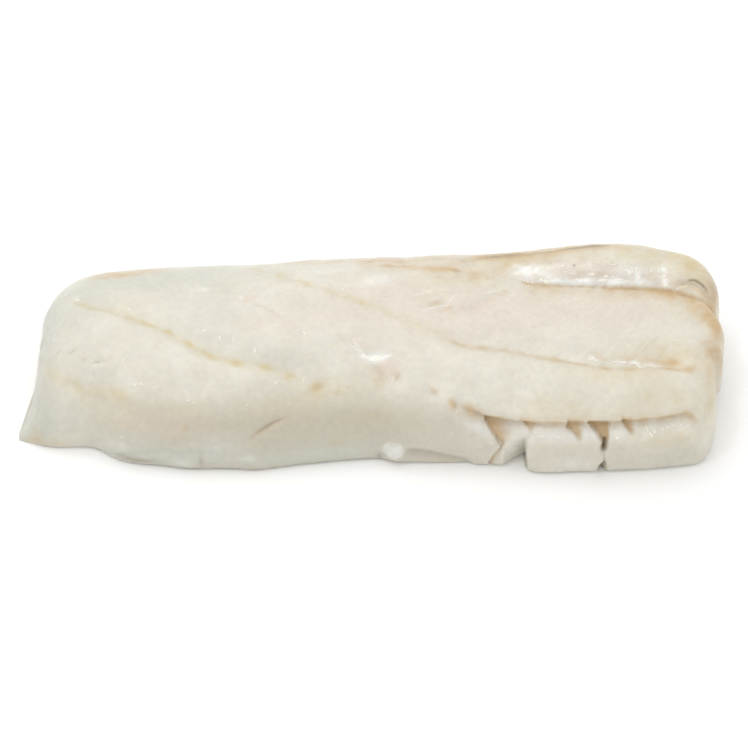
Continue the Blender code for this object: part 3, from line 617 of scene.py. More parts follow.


# Where the flesh changes colour, and where shade and light are painted into that colour: painted shade
# under the lip, in slits, cracks, gapes, folds and small pits, and painted light on the wall before the
# proud flake and on the deep seam's wet streak. A line follows a path, with its mm of width above and
# below it and dashes of (X, half length, strength). A spot is (X, girth, half length, half width, turn,
# strength), and a disc is the same with a clear edge.
stainsAndPaintedLight = {
    "yellow": {
        "lines": [
            {"path": "tapered upper seam", "width": (1.2, 1.3), "ragged": 0.7, "strength": 0.03, "fade": 4,
             "dashes": [(-104, 3.0, 0.35), (-97, 4.0, 0.3), (-86.4, 2.6, 0.35), (-80, 2.6, 0.45),
                        (-71.6, 1.9, 0.75), (-64.6, 1.9, 0.9), (-56.7, 2.5, 0.8), (-47.5, 2.2, 0.85),
                        (-37, 2.2, 0.75), (-29, 1.8, 0.4)]},
            {"path": "tapered upper seam", "width": (1.8, 3.2), "strength": 0.18, "fade": 14,
             "dashes": [(-80, 6, 0.1), (-57, 8, 0.12)]},
            {"path": "long thin seam", "width": (1.3, 1.5), "ragged": 0.8, "strength": 0.04, "fade": 10,
             "dashes": [(-42, 2.2, 0.3), (-33.4, 2.0, 0.45), (-24, 2.8, 0.45), (-15, 2.6, 0.35),
                        (-4.6, 3.0, 0.45), (4.4, 2, 0.22), (8.4, 1.5, 0.12), (15, 2.0, 0.14),
                        (22, 1.6, 0.22)]},
            {"path": "long thin seam", "width": (2.0, 3.4), "strength": 0.14, "fade": 14},
            {"path": "lowOlive", "width": (1.6, 2.4), "ragged": 0.8, "strength": 0.28, "fade": 6,
             "dashes": [(-100.4, 1.6, 0.35)]},
        ],
        "spots": [(-91, 20.3, 9, 3.0, 0, 0.45), (-84, 16, 4, 2.0, -30, 0.25),
                  (2.0, 19.6, 1.6, 3.4, 25, 0.35), (104, 25, 14, 6, 0, 0.5), (-12, 18.5, 12, 2.0, 0, 0.15),
                  (90, 70, 34, 9, 0, 0.6), (94, 62.5, 24, 5, 0, 0.1), (50, 67, 16, 6, 0, 0.5),
                  (114, 60, 9, 12, 0, 0.6), (-19.3, 20.8, 2.6, 2.2, 0, 0.4), (121, 20, 5, 14, 0, 0.5),
                  (100, 16, 14, 4, 0, 0.35), (110, 44, 8, 6, 0, 0.4), (84, 20, 16, 5, 0, 0.4),
                  (84, 13, 16, 3, 0, 0.3), (98, 10, 12, 3, 0, 0.3), (-30, 16, 18, 6, 0, 0.2),
                  (-12, 19.5, 9, 3, 0, 0.2), (-85, 56, 8, 4, -15, 0.15), (0, 12, 14, 4, 0, 0.2),
                  (60, 14, 12, 4, 0, 0.3), (-66, 17, 10, 4, 0, 0.15), (30, 57, 16, 6, 0, 0.3),
                  (102, 8, 10, 4, 0, 0.25)],
    },
    "tan": {
        "lines": [
            {"path": "deep seam", "width": (0.7, 1.2), "ragged": 0.9, "strength": 0.06, "fade": 6,
             "dashes": [(29.3, 2.4, 0.35), (37, 2.6, 0.4), (46.5, 2.2, 0.5), (52.5, 2.4, 0.55),
                        (57, 1.5, 0.2), (63, 2, 0.12), (70, 1.8, 0.3), (73.6, 1.8, 0.4), (80, 2.4, 0.3),
                        (88.3, 2.2, 0.25), (103, 2.0, 0.5), (110.3, 2.0, 0.6)]},
            {"path": "deep seam", "width": (0.8, 3.2), "strength": 0.22, "fade": 14,
             "dashes": [(30, 5, 0.1), (64, 10, 0.12), (106, 8, 0.35)]},
            # tan with painted shade above the deep seam's streak, where the band slopes down into the seam
            {"path": "aboveStreak", "width": (1.6, 1.4), "ragged": 0.5, "strength": 0.16, "fade": 5,
             "dashes": [(79.4, 2.2, 0.3), (88, 3, 0.2), (96, 4, 0.25), (103, 3, 0.3)]},
            {"path": "crease", "width": (0.35, 0.6), "strength": 0.5, "fade": 5,
             "dashes": [(60, 8, 0.4), (84, 10, 0.4), (104, 3, 0.4), (112, 4, 0.1)]},
            {"path": "crease", "width": (0.5, 6.0), "strength": 0.34, "fade": 8,
             "dashes": [(63, 6, 0.25), (84, 7, 0.25), (98, 6, 0.25), (106, 5, 0.3)]},
            {"path": "backRim", "width": (6.0, 2.4), "ragged": 0.8, "strength": 0.32, "fade": 22,
             "dashes": [(-14, 6, 0.12), (2, 8, 0.1)]},
            {"path": "backMarks", "width": (5.0, 4.2), "ragged": 1.2, "strength": 0.36, "fade": 8,
             "dashes": [(26, 8, 0.08)]},
            {"path": "backMarks", "width": (1.2, 1.2), "ragged": 0.8, "strength": 0.0, "fade": 8,
             "dashes": [(5.5, 4, 0.35), (12.5, 2, 0.2), (21.5, 2.5, 0.2), (28.6, 3, 0.12)]},
            {"path": "skinRemnant", "width": (3.0, 2.0), "strength": 0.35, "fade": 8,
             "dashes": [(44, 7, 0.45)]},
            {"path": "darkCrest", "width": (4.0, 2.4), "strength": 0.4, "fade": 8,
             "dashes": [(50, 6, 0.3), (84, 6, 0.3)]},
            # painted shade under the lip's overhang, drawn in tan below its edge
            {"path": "lip", "width": (0.9, 1.6), "strength": 0.08, "fade": 4,
             "dashes": [(27, 1.5, 0.55), (35, 3, 0.4), (42, 3, 0.25), (54, 2.5, 0.3), (62, 1.5, 0.15),
                        (70, 3, 0.25), (77, 3, 0.25), (86, 3, 0.25), (93, 4, 0.3), (99, 4, 0.45),
                        (107, 4, 0.5)]},
            {"path": "lip", "width": (0.5, 3.0), "strength": 0.18, "fade": 8,
             "dashes": [(53, 3, 0.2), (62, 2, 0.2), (102, 8, 0.35)]},
            {"path": "taperedCrest", "width": (5.0, 2.0), "strength": 0.5, "fade": 10,
             "dashes": [(-94, 7, 0.35)]},
        ],
        "spots": [(-19.3, 20.8, 1.9, 1.6, 0, 0.45), (-29, 24.2, 1.6, 1.1, 0, 0.3),
                  (-64.8, 12.8, 1.5, 1.1, 20, 0.45), (-96, 15.5, 5, 3, -20, 0.08),
                  (-90, 12.5, 8, 3, -10, 0.1), (-13, 6.3, 3, 1.6, 0, 0.25), (117.5, 42, 4.5, 8.0, 15, 0.6),
                  (121, 31, 4.0, 10.0, 0, 0.55), (122.7, 24, 1.6, 2.2, 0, 0.6), (108, 47.2, 5, 1.8, 0, 0.4),
                  (118, 57, 6, 7, 0, 0.3), (109.6, 22.1, 3.6, 1.5, 0, 0.75),
                  (102.4, 23.3, 3.6, 1.7, 0, 0.7), (119.6, 59, 2.4, 6, 0, 0.5), (121.5, 47, 3, 6, 0, 0.4),
                  (112, 52.6, 5.5, 2.0, -5, 0.35), (22.3, 46.6, 2.2, 1.0, 8, 0.4),
                  (2.0, 25.0, 1.6, 0.8, -10, 0.3), (2.2, 23.0, 0.45, 2.2, 25, 0.4),
                  (3.0, 20.8, 0.5, 2.6, 25, 0.35), (4.6, 21.4, 0.4, 1.6, 25, 0.2),
                  (8.6, 22.4, 1.6, 1.1, 0, 0.12), (7.8, 21.2, 0.25, 1.4, 12, 0.4),
                  (9.0, 21.0, 0.25, 1.8, 12, 0.4), (28.6, 13.2, 0.3, 2.2, 28, 0.4),
                  (30.2, 12.6, 0.3, 2.4, 30, 0.35), (20.2, 18.2, 0.4, 2.2, 35, 0.6),
                  (21.4, 17.8, 1.3, 1.5, 35, 0.35), (45, 60, 6, 4, -12, 0.2),
                  (40.5, 57.5, 2.5, 1.0, -20, 0.5), (10.8, 70, 3.0, 1.1, -8, 0.6),
                  (17, 66.8, 3.0, 1.0, -8, 0.4), (22.6, 64.8, 3.0, 1.0, -10, 0.2),
                  (30.4, 62.8, 3.0, 1.0, -10, 0.3), (56, 64.5, 10, 3, 0, 0.3), (-119, 6, 4, 6, 0, 0.3),
                  (-112, 2.5, 7, 2.5, 0, 0.3), (26, 43.2, 1.6, 1.0, 30, 0.3), (46.5, 49, 1.8, 1.2, 40, 0.3),
                  (74, 62, 3.0, 1.5, 0, 0.3)],
    },
    "brown": {
        "lines": [{"path": "darkCrest", "width": (1.8, 2.2), "ragged": 0.6, "strength": 0.5, "fade": 6,
                   "dashes": [(45, 7, 0.35), (72, 6, 0.1)]},
                  # painted shade in the front slit, drawn in brown
                  {"path": "front slit", "width": (0.8, 1.6), "strength": 0.3, "fade": 5}],
        # painted shade, drawn in brown: the first five spots darken the small pits by X 27 to 35 and the
        # undercut below the lip at X 52.6 and 62.2; the rest are brown marks of the flesh
        "spots": [(27.0, 15.0, 1.1, 2.0, 20, 0.9), (33.2, 13.4, 1.2, 2.8, 18, 0.75),
                  (34.6, 12.0, 0.4, 2.6, 22, 0.5), (52.6, 11.0, 2.0, 1.8, 0, 0.75),
                  (62.2, 11.2, 1.6, 1.0, 0, 0.35), (-1.0, 72.8, 0.9, 0.8, 0, 0.7),
                  (71.6, 59, 0.5, 0.6, 0, 0.8), (23.2, 64.8, 1.2, 0.7, 0, 0.6),
                  (10.6, 71.2, 1.3, 1.0, 0, 0.7), (29.6, 62.9, 2.0, 0.9, -8, 0.45),
                  (22.0, 64.6, 2.2, 0.7, -10, 0.35), (5.6, 69.4, 3.6, 0.9, -6, 0.65)],
    },
    "dark": {
        # painted shade: darker in the flap's slit and the front slit, in the hollow under the globule and
        # along the fold
        "lines": [{"path": "flapSlit", "width": (0.34, 0.34), "strength": 1.3, "fade": 2},
                  {"path": "front slit", "width": (0.6, 0.8), "strength": 0.42, "fade": 8},
                  {"path": "underBulge", "width": (0.8, 2.6), "strength": 0.22, "fade": 5},
                  {"path": "fold", "width": (0.45, 0.45), "strength": 0.14, "fade": 3},
                  {"path": "darkCrest", "width": (3.4, 2.4), "ragged": 0.5, "strength": 0.06, "fade": 6,
                   "dashes": [(48, 8, 0.2), (84, 9, 0.2)]},
                  {"path": "skinRemnant", "width": (2.2, 1.6), "strength": 0.0, "fade": 5,
                   "dashes": [(43, 7, 0.25)]},
                  {"path": "darkCrest", "width": (0.8, 0.8), "strength": 0.2, "fade": 8,
                   "dashes": [(42, 3, 0.15), (50, 5, 0.35), (62, 4, 0.3), (73, 5, 0.75), (81, 5, 0.65)]}],
        # painted shade among these spots: in the crack at X 79.3 and the gapes at X 78.6 and 45, in the
        # crease at X -59.6, in the notch by the globule at X 2.2, along the foot at X -82 and on the
        # tapered end's wall at X -118.9
        "spots": [(10.8, 71.2, 0.6, 0.6, 0, 1.0), (-1.0, 72.8, 0.6, 0.5, 0, 0.7),
                  (71.6, 59.4, 0.5, 0.5, 0, 1.0), (29.6, 63.0, 1.6, 0.7, -8, 0.3),
                  (6.0, 69.4, 2.2, 0.7, 0, 0.25), (-82, 2.2, 7, 1.0, 0, 0.6), (79.3, 6.7, 0.7, 1.1, 0, 0.8),
                  (45, 8.8, 2.4, 2.2, 0, 0.22), (78.6, 8.6, 1.2, 1.3, 0, 0.2), (119.8, 59, 2.2, 6, 0, 0.25),
                  (120, 64, 2, 7, 0, 0.18), (-118.9, 58, 2.0, 10, 0, 0.2), (-59.6, 3.2, 0.7, 3.0, 4, 0.5),
                  (2.2, 1.6, 1.2, 1.8, 0, 0.5), (-105.4, 35.8, 1.1, 0.35, 20, 0.45),
                  (-96.4, 30.4, 1.3, 0.35, 8, 0.4), (-110.4, 38.8, 1.0, 0.35, 30, 0.3),
                  (-101, 31.6, 0.9, 0.5, 0, 0.2)],
    },
    "pink": {
        # painted shade: the fold line and the streak at X 40 are shadow lines drawn in pink
        "lines": [{"path": "fold", "width": (0.8, 0.8), "strength": 0.35, "fade": 3}],
        "spots": [(4, 23.5, 5.0, 4.0, -20, 0.7), (-6, 33.5, 4.0, 1.2, -38, 0.6),
                  (-45, 60.5, 3.0, 2.2, 0, 0.7), (0, 50, 30, 14, 0, 0.35), (40, 40, 30, 12, 0, 0.45),
                  (85, 38, 25, 9, 0, 0.4), (-30.0, 43.5, 2.0, 2.4, 0, 0.5), (-41, 48, 8, 4, 0, 0.3),
                  (40, 44.6, 7, 1.3, 32, 0.35), (26, 44, 4, 2, 10, 0.5), (46, 62.5, 6, 3, 0, 0.5),
                  (60, 10, 20, 5, 0, 0.3), (-72, 13, 16, 5, 0, 0.3), (-104, 26, 4, 3, 0, 0.1),
                  (-82, 61, 5, 2, 0, 0.3)],
    },
    "hollow": {
        # grey-brown spots on the flap's jelly; the one at X 90, inside the ring of thread, is painted shade
        "spots": [(74, 56.3, 3.4, 1.8, 0, 0.8), (80.9, 54.3, 3.0, 1.5, 0, 0.8),
                  (77.1, 55.7, 0.8, 0.7, 0, 0.6), (90, 55.2, 1.1, 1.0, 0, 0.6), (66, 58, 4, 2.0, 0, 0.4),
                  (99, 55.5, 1.6, 1.6, 0, 0.4)],
    },
    "shade": {
        "lines": [{"path": "flapRim", "width": (6.0, 1.8), "strength": 0.4, "fade": 10},
                  {"path": "backRim", "width": (5.0, 1.0), "strength": 0.3, "fade": 20},
                  {"path": "taperedCrest", "width": (5.0, 1.0), "strength": 0.25, "fade": 10}],
        "spots": [(0, 9, 9, 6, 0, 0.5), (46, 7.4, 4, 3, 0, 0.2), (-32, 19, 10, 5, 0, 0.15),
                  (60, 66, 12, 6, 0, 0.2), (40, 62, 8, 5, 0, 0.2), (-38, 22, 14, 7, 0, 0.18),
                  (-93, 9, 9, 4, 0, 0.2), (30, 19, 8, 4, 0, 0.15)],
    },
    "cool": {
        "spots": [(-106, 34, 10, 12, 0, 0.2), (-75, 74, 34, 12, 0, 0.6), (-56, 52, 16, 9, 0, 0.4),
                  (-104, 62, 13, 14, 0, 0.5), (-108, 10, 12, 9, 0, 0.4), (-54, 41, 9, 2.6, -14, 0.5),
                  (-35, 30, 14, 4, -12, 0.3), (-24, 33, 20, 6, 0, 0.25), (-78, 4.0, 16, 3.8, 8, 1.0),
                  (-40, 3.5, 45, 3.5, 0, 0.7), (-54, 7, 9, 4, 0, 0.4), (-12, 3.5, 16, 5.0, 0, 0.6),
                  (-96, 24, 9, 4, 0, 0.4), (-84, 8.5, 8, 3.0, 0, 0.5), (-115, 14, 4, 9, 0, 0.5),
                  (104, 4, 14, 4, 0, 0.4)],
    },
    "white": {
        # painted highlight: the white streak along the deep seam stands for its wet shine, with white
        # membrane in it
        "lines": [{"path": "deepStreak", "width": (0.9, 0.7), "strength": 0.1, "fade": 2,
                   "dashes": [(75.4, 1.8, 0.7), (86, 2.6, 0.6), (91, 3, 0.6), (97.5, 3, 0.5)]}],
        # painted light: the first spot lightens the shaded wall where the flesh runs back before the proud
        # flake
        "spots": [(48.4, 5.0, 3.4, 4.5, 0, 0.5), (55.8, 60.0, 4.6, 2.4, -10, 0.85),
                  (61.0, 57.2, 2.2, 1.2, -30, 0.6), (51.0, 59.0, 1.8, 1.2, 0, 0.35),
                  (80, 52.3, 18, 0.9, -4, 0.4), (70, 2.5, 8, 3, 0, 0.3), (-54, 8, 9, 4, 0, 0.15),
                  (1.2, 27.0, 2.6, 1.8, 0, 1.8), (-2.6, 27.5, 1.9, 0.7, -24, 1.3),
                  (4.6, 27.1, 1.6, 0.45, 14, 1.2), (-4.6, 29.6, 2.0, 0.5, -52, 0.8),
                  (-6.4, 32.4, 1.8, 0.4, -52, 0.6), (-7.0, 34.4, 1.6, 0.2, -48, 0.5),
                  (-9.4, 37.0, 1.4, 0.15, -48, 0.4), (-61, 66.8, 3.6, 1.8, -10, 0.3),
                  (-46.8, 61.2, 0.5, 1.6, 30, 0.5), (-106.4, 67.0, 2.4, 1.4, 0, 0.28),
                  (-19, 69, 7, 1.8, 0, 0.25), (1.5, 61.2, 5.5, 3.0, 0, 0.35),
                  (21.4, 44.4, 3.6, 0.35, 5, 0.7), (27.4, 47.6, 0.4, 2.6, -28, 0.5),
                  (28.7, 43.4, 0.3, 1.0, 0, 0.6), (42, 49.8, 4.4, 0.35, 14, 0.5),
                  (18, 52.6, 4.0, 0.5, 14, 0.3), (-41.2, 34.4, 0.3, 1.2, 0, 0.4),
                  (-66, 2.4, 3.4, 1.4, 0, 0.35), (-43.3, 4.4, 2.4, 1.6, 0, 0.3), (-88, 6, 3, 1.5, 0, 0.25),
                  (116, 50.4, 6, 0.9, -10, 0.2), (93.6, 54.4, 0.9, 2.4, 0, 0.5),
                  (94.4, 52.4, 1.6, 1.0, 0, 0.7), (90.0, 55.4, 2.4, 2.2, 0, 0.5),
                  (103, 58.2, 1.0, 1.6, 0, 0.9), (103.5, 52.4, 1.0, 1.5, 0, 0.9),
                  (70, 53.4, 12, 0.8, -8, 0.6), (88, 51.4, 8, 0.8, 0, 0.5), (85.4, 51.9, 2.4, 0.9, 0, 0.9),
                  (75, 52.8, 3.0, 0.8, 0, 0.5), (66, 54.6, 4.0, 1.0, 0, 0.45),
                  (49, 46.4, 0.4, 2.6, -40, 0.2)],
        "discs": [(7.0, 4.2, 4.1, 3.0, 0, 0.5)],
    },
}

# What the lines of colour follow, the stains and the painted shade and light alike: the seams' own paths
# and others in (X, girth)
paths = {
    **seamPaths,
    "crease": flap["path"][2:],
    "lip": lip["path"],
    "backRim": [(-46, 79.5), (-32, 78.0), (-21, 75.8), (-15.7, 75.4), (-5, 74), (6, 73.8), (17, 73.2),
                (28, 71), (38, 70.5), (46, 69.5), (62, 68.5)],
    "backMarks": [(-8, 72.5), (0.6, 70.2), (6, 69.3), (11, 69.6), (16.8, 66.8), (22.3, 64.4), (27.7, 63.4),
                  (31.3, 62.3), (34.9, 60), (38, 57.2), (43, 55.5)],
    "flapRim": [(84, 68.2), (92, 67), (103, 67.2), (110, 66), (118, 62)],
    "skinRemnant": [(32, 72), (44, 70), (56, 68), (66, 67), (74, 67.5), (84, 69), (94, 65)],
    "darkCrest": [(36, 70.8), (43, 69.4), (50, 69.6), (57, 69.2), (63, 69.0), (70, 68.5), (78, 68.4),
                  (88, 68.6)],
    "taperedCrest": [(-105, 76.8), (-97, 75.8), (-90, 77.0), (-82, 78.6), (-76, 79), (-70, 77.5)],
    "lowOlive": [(-118, 42), (-112.2, 31), (-108.2, 26), (-104.3, 23.3), (-101.2, 20), (-98, 17.5)],
    "underBulge": [(10, 4.2), (19, 3.2), (27, 2.0), (36, 0.6)],
    "flapSlit": [(110.5, 54.8), (112.5, 55.8), (114.4, 56.4), (116.4, 56.3), (118.6, 55.2)],
    "fold": [(-43.5, 58.6), (-41, 56.3), (-38, 54.3), (-35, 51), (-32.5, 48), (-30, 44.4)],
    "deepStreak": [(73, 23.0), (75.3, 24.0), (77, 23.1), (81, 22.9), (85, 23.0), (88, 22.7), (90.3, 23.0),
                   (92.7, 22.0), (95.1, 22.7), (98.7, 22.3), (101, 22.4)],
    "aboveStreak": [(70, 23.8), (76, 24.6), (80, 23.7), (86, 23.8), (92, 23.6), (99, 23.4), (105, 23.2),
                    (111, 21.8)],
    "jellyTop": [(46, 62), (53, 62.6), (62, 62.6), (71, 62), (81, 60), (88.5, 57.7), (95, 56), (109, 54.3),
                 (122, 55)],
}

# How the marks are drawn: the wandering of a ragged line, and the clear edge of a disc
markForm = {
    "raggedSize": 2.6,
    "seed": 65,
    "discEdge": (0.75, 1.1),
}


def markMask(skin, markSet):
    total = np.zeros_like(skin.x)
    shifted = skin.x + fillet["lumpShift"]
    wander = lumps(shifted, np.zeros_like(shifted), markForm["raggedSize"], markForm["seed"])
    for line in markSet.get("lines", []):
        path = paths[line["path"]]
        off = skin.across(path) + line.get("ragged", 0) * wander
        above, below = line["width"]
        dashes = sum(share * bell(skin.x, at, half) for at, half, share in line.get("dashes", []))
        band = bell(np.maximum(off, 0), 0, above) * bell(np.minimum(off, 0), 0, below)
        total += (line["strength"] + dashes) * band * skin.along(path, line["fade"])
    for at, girth, half, wide, turn, strength in markSet["spots"]:
        total += strength * skin.spot((at, girth), (half, wide), turn)
    for at, girth, half, wide, turn, strength in markSet.get("discs", []):
        total += strength * (1 - ease(skin.around((at, girth), (half, wide), turn), *markForm["discEdge"]))
    return total


# How the colours follow the shapes: places and widths in mm, the rest are strengths from 0 to 1
tints = {
    "unevenTan": [(4.0, 61, 0.45), (1.6, 62, 0.3)],  # size, seed and strength
    "unevenWhite": (1.7, 63, 0.55),
    # painted shade: the crack is darker the deeper it is, and the gapes' pits take painted shade over their
    # brown
    "crack": {"dark": 0.9, "fullDepth": 2.4},
    "pits": {"brown": 0.95, "fullDepth": 1.8, "ramp": 0.85},
    "septaWhite": 0.1,
    # painted light: the tops of the flakes under the lip are lighter, as they face up into the light
    "litFlakeTops": {"below": 4.6, "width": 2.6, "fade": 10, "white": 0.5, "even": 0.85,
                  "uneven": (3.0, 64, 0.5)},
    "jelly": {"front": (0.4, 1.6), "back": (-2.5, 1.0), "start": (44, 54)},
    "frontShade": {"up": (-31, -18), "start": (-112, -66), "weaker": [((-18, 20), 0.3), ((20, 50), 0.6)]},
    "underLip": {"shade": 0.25, "below": (7, 11), "start": (30, 50)},
    # the tapered end's wall: greyer flesh with painted shade, darker where the lamps light it most
    "taperedEnd": {"edge": (-119, -108), "shade": 0.5, "cool": 0.6, "dark": 0.13, "darkAbove": (10, 30)},
    "endWalls": {"wall": (0.25, 0.7), "weaker": 0.9,
                 "masks": ("yellow", "tan", "brown", "pink", "white", "jelly")},
    "grain": {"even": 0.3, "upperBand": 0.6, "aboveSeam": (0, 5), "start": (0, 40)},
    "wet": {"jelly": 0.9, "litFlakeTops": 0.8, "white": 0.7},
}


def gapePits(skin):
    # 1 in the dark depth of a gape, brown flesh with painted shade, and less up its rising side
    form, pits = tints["pits"], np.zeros_like(skin.x)
    for gape in gapes:
        inside, share = gapeOpening(skin, gape)
        tint = ease(share, *gape.get("tint", (0, form["ramp"] / gape["rise"])))
        pits += gape.get("tone", min(1, gape["depth"] / form["fullDepth"])) * inside * tint
    return np.clip(pits, 0, 1)


def frontShade(skin):
    # the low front of the tapered half, which turns away from the light
    form = tints["frontShade"]
    weaker = sum(strength * ease(skin.x, *place) for place, strength in form["weaker"])
    return ease(-skin.arc, *form["up"]) * ease(skin.x, *form["start"]) * (1 - weaker)


def jellyMask(skin):
    # the clear jelly lies on the front of the rolled flap
    form = tints["jelly"]
    over, under = skin.across(flap["path"]), skin.across(paths["jellyTop"])
    return ease(over, *form["front"]) * ease(-under, *form["back"]) * ease(skin.x, *form["start"])


def unevenness(skin, rows):
    # about 1, a little more or less from place to place
    return 1 + sum(strength * skin.uneven(size, seed) for size, seed, strength in rows)


def colourMasks(skin):
    masks = {name: markMask(skin, markSet) for name, markSet in stainsAndPaintedLight.items()}
    uneven = unevenness(skin, tints["unevenTan"])
    masks["tan"] *= uneven
    masks["yellow"] *= uneven
    masks["white"] *= unevenness(skin, [tints["unevenWhite"]])
    # painted shade in the crack by its depth, and in the gapes' pits over their own brown
    crackShade, pits = tints["crack"], gapePits(skin)
    masks["dark"] += crackShade["dark"] * np.clip(crackOpening(skin) / crackShade["fullDepth"], 0, 1)
    masks["brown"] += tints["pits"]["brown"] * pits

    # painted light on the tops of the flakes under the lip, which face up into the light
    rim, tops = skin.across(lip["path"]), tints["litFlakeTops"]
    litFlakeTops = bell(rim, -tops["below"], tops["width"]) * skin.along(lip["path"], tops["fade"])
    size, seed, strength = tops["uneven"]
    patchy = tops["even"] + strength * skin.uneven(size, seed)
    masks["white"] += tints["septaWhite"] * septaLines(skin)
    masks["white"] += tops["white"] * litFlakeTops * (1 - pits) * patchy
    masks["jelly"] = jellyMask(skin)

    # painted shade under the lip, on the low front and on the tapered end's wall; the wall is also made
    # greyer and darker where the lamps light it most
    under, end = tints["underLip"], tints["taperedEnd"]
    edge = 1 - ease(skin.x, *end["edge"])
    masks["shade"] += frontShade(skin) + end["shade"] * edge
    masks["shade"] += under["shade"] * ease(-rim, *under["below"]) * ease(skin.x, *under["start"])
    masks["cool"] += end["cool"] * edge
    masks["dark"] += end["dark"] * edge * ease(skin.girth, *end["darkAbove"])

    walls, grain, wet = tints["endWalls"], tints["grain"], tints["wet"]
    wall = ease(1 - skin.heightShare, *walls["wall"])[:, None]
    for name in walls["masks"]:
        masks[name] = masks[name] * (1 - walls["weaker"] * wall)
    deep = skin.across(seamPaths["deep seam"])
    upperBand = ease(deep, *grain["aboveSeam"]) * ease(skin.x, *grain["start"])
    masks["grain"] = grain["even"] + grain["upperBand"] * upperBand * (1 - wall)
    masks["wet"] = (wet["jelly"] * masks["jelly"] + wet["litFlakeTops"] * litFlakeTops
                    + wet["white"] * masks["white"])
    return {name: np.clip(mask, 0, 1) for name, mask in masks.items()}


def ringMesh(name, points, uv, masks):
    # closed rings of points skinned with quads, with a fan over each end, a UV map and the masks
    rings, steps = points.shape[:2]
    number = np.arange(rings * steps).reshape(rings, steps)
    nextStep = np.roll(number, -1, 1)
    quads = np.stack([number[:-1], number[1:], nextStep[1:], nextStep[:-1]], -1).reshape(-1, 4)
    hubs = [rings * steps, rings * steps + 1]
    fans = [(hubs[0], a, b) for a, b in zip(number[0], nextStep[0])]
    fans += [(hubs[1], b, a) for a, b in zip(number[-1], nextStep[-1])]
    middles = np.stack([points[0].mean(0), points[-1].mean(0)])
    places = np.concatenate([points.reshape(-1, 3), middles]) * mm
    mesh = bpy.data.meshes.new(name)
    mesh.from_pydata(places.tolist(), [], quads.tolist() + fans)
    mesh.update()
    layer = mesh.uv_layers.new(name="skin")
    corners = np.zeros(len(mesh.loops), int)
    mesh.loops.foreach_get("vertex_index", corners)
    flat = np.concatenate([uv.reshape(-1, 2), uv[[0, -1], 0]])
    layer.uv.foreach_set("vector", (flat[corners] / uvUnit).astype(np.float32).ravel())
    for mask, values in masks.items():
        whole = np.zeros(len(places), np.float32)
        whole[:rings * steps] = np.pad(values, ((0, 0), (0, steps - values.shape[1]))).ravel()
        mesh.attributes.new(mask, "FLOAT", "POINT").data.foreach_set("value", whole)
    mesh.shade_smooth()
    mesh.set_sharp_from_angle(angle=math.radians(fineness["sharpAngle"]))
    return mesh


# Raw white fish, cut by knife and wet: cream white, slightly see-through, softly shiny
fleshLook = {
    "cream": "#d1ccbe",
    "creamLight": "#d8d4c7",
    # the masks' colours: besides the shade mask, the cool, pink, hollow, tan, brown and dark masks hold
    # painted shade in places, and the white mask painted light
    "masks": [("shade", "#bfb9a9"), ("cool", "#c2c2b6"), ("pink", "#d3c4b6"), ("jelly", "#d1c9bd"),
              ("hollow", "#c6b9a5"), ("yellow", "#cabb94"), ("tan", "#c4a980"), ("brown", "#ccb28b"),
              ("dark", "#8d7f66"), ("white", "#e9eae6")],
    # uneven patterns: mm across, detail, the range of the noise and the range it is turned into
    "mottle": (11.0, 3.0, (0.35, 0.65), (0, 1)),
    "cells": (2.2, 4.0, (0.3, 0.7), (0.96, 1.04)),
    "roughness": (4.0, 3.0, (0.3, 0.7), (0.32, 0.52)),
    "noiseRoughness": 0.55,
    "wetSmoothing": 0.26,  # roughness that is taken off where the flesh is wettest
    # the clear jelly of the flap: clots of white, and grey that shows through it
    "clots": (4.2, 2.0, (0.42, 0.75), (0, 0.35)),
    "clotWhite": "#efece6",
    "clearings": (5.88, 2.0, (0.48, 0.34), (0, 0.25)),
    "clearGrey": "#b9ab98",
    # fibres of the flakes, in mm, drawn as coarse as they need to show
    "fibreLength": 7.0,
    "fibreWidth": 0.7,
    "fibreDetail": 2.0,
    "fibreStrokes": ((0.3, 0.7), (0.97, 1.03)),
    "fibreBump": {"Strength": 0.3, "Distance": 0.2 * mm},
    "fineBump": {"Strength": 0.35, "Distance": 0.3 * mm},
    "fineSize": 1.1,
    "fineDetail": 4.0,
    "shader": {"Subsurface Weight": 0.3, "Subsurface Radius": (1.0, 0.75, 0.5),
               "Subsurface Scale": 2.0 * mm, "Coat Weight": 0.25, "Coat Roughness": 0.2, "Coat IOR": 1.34},
}


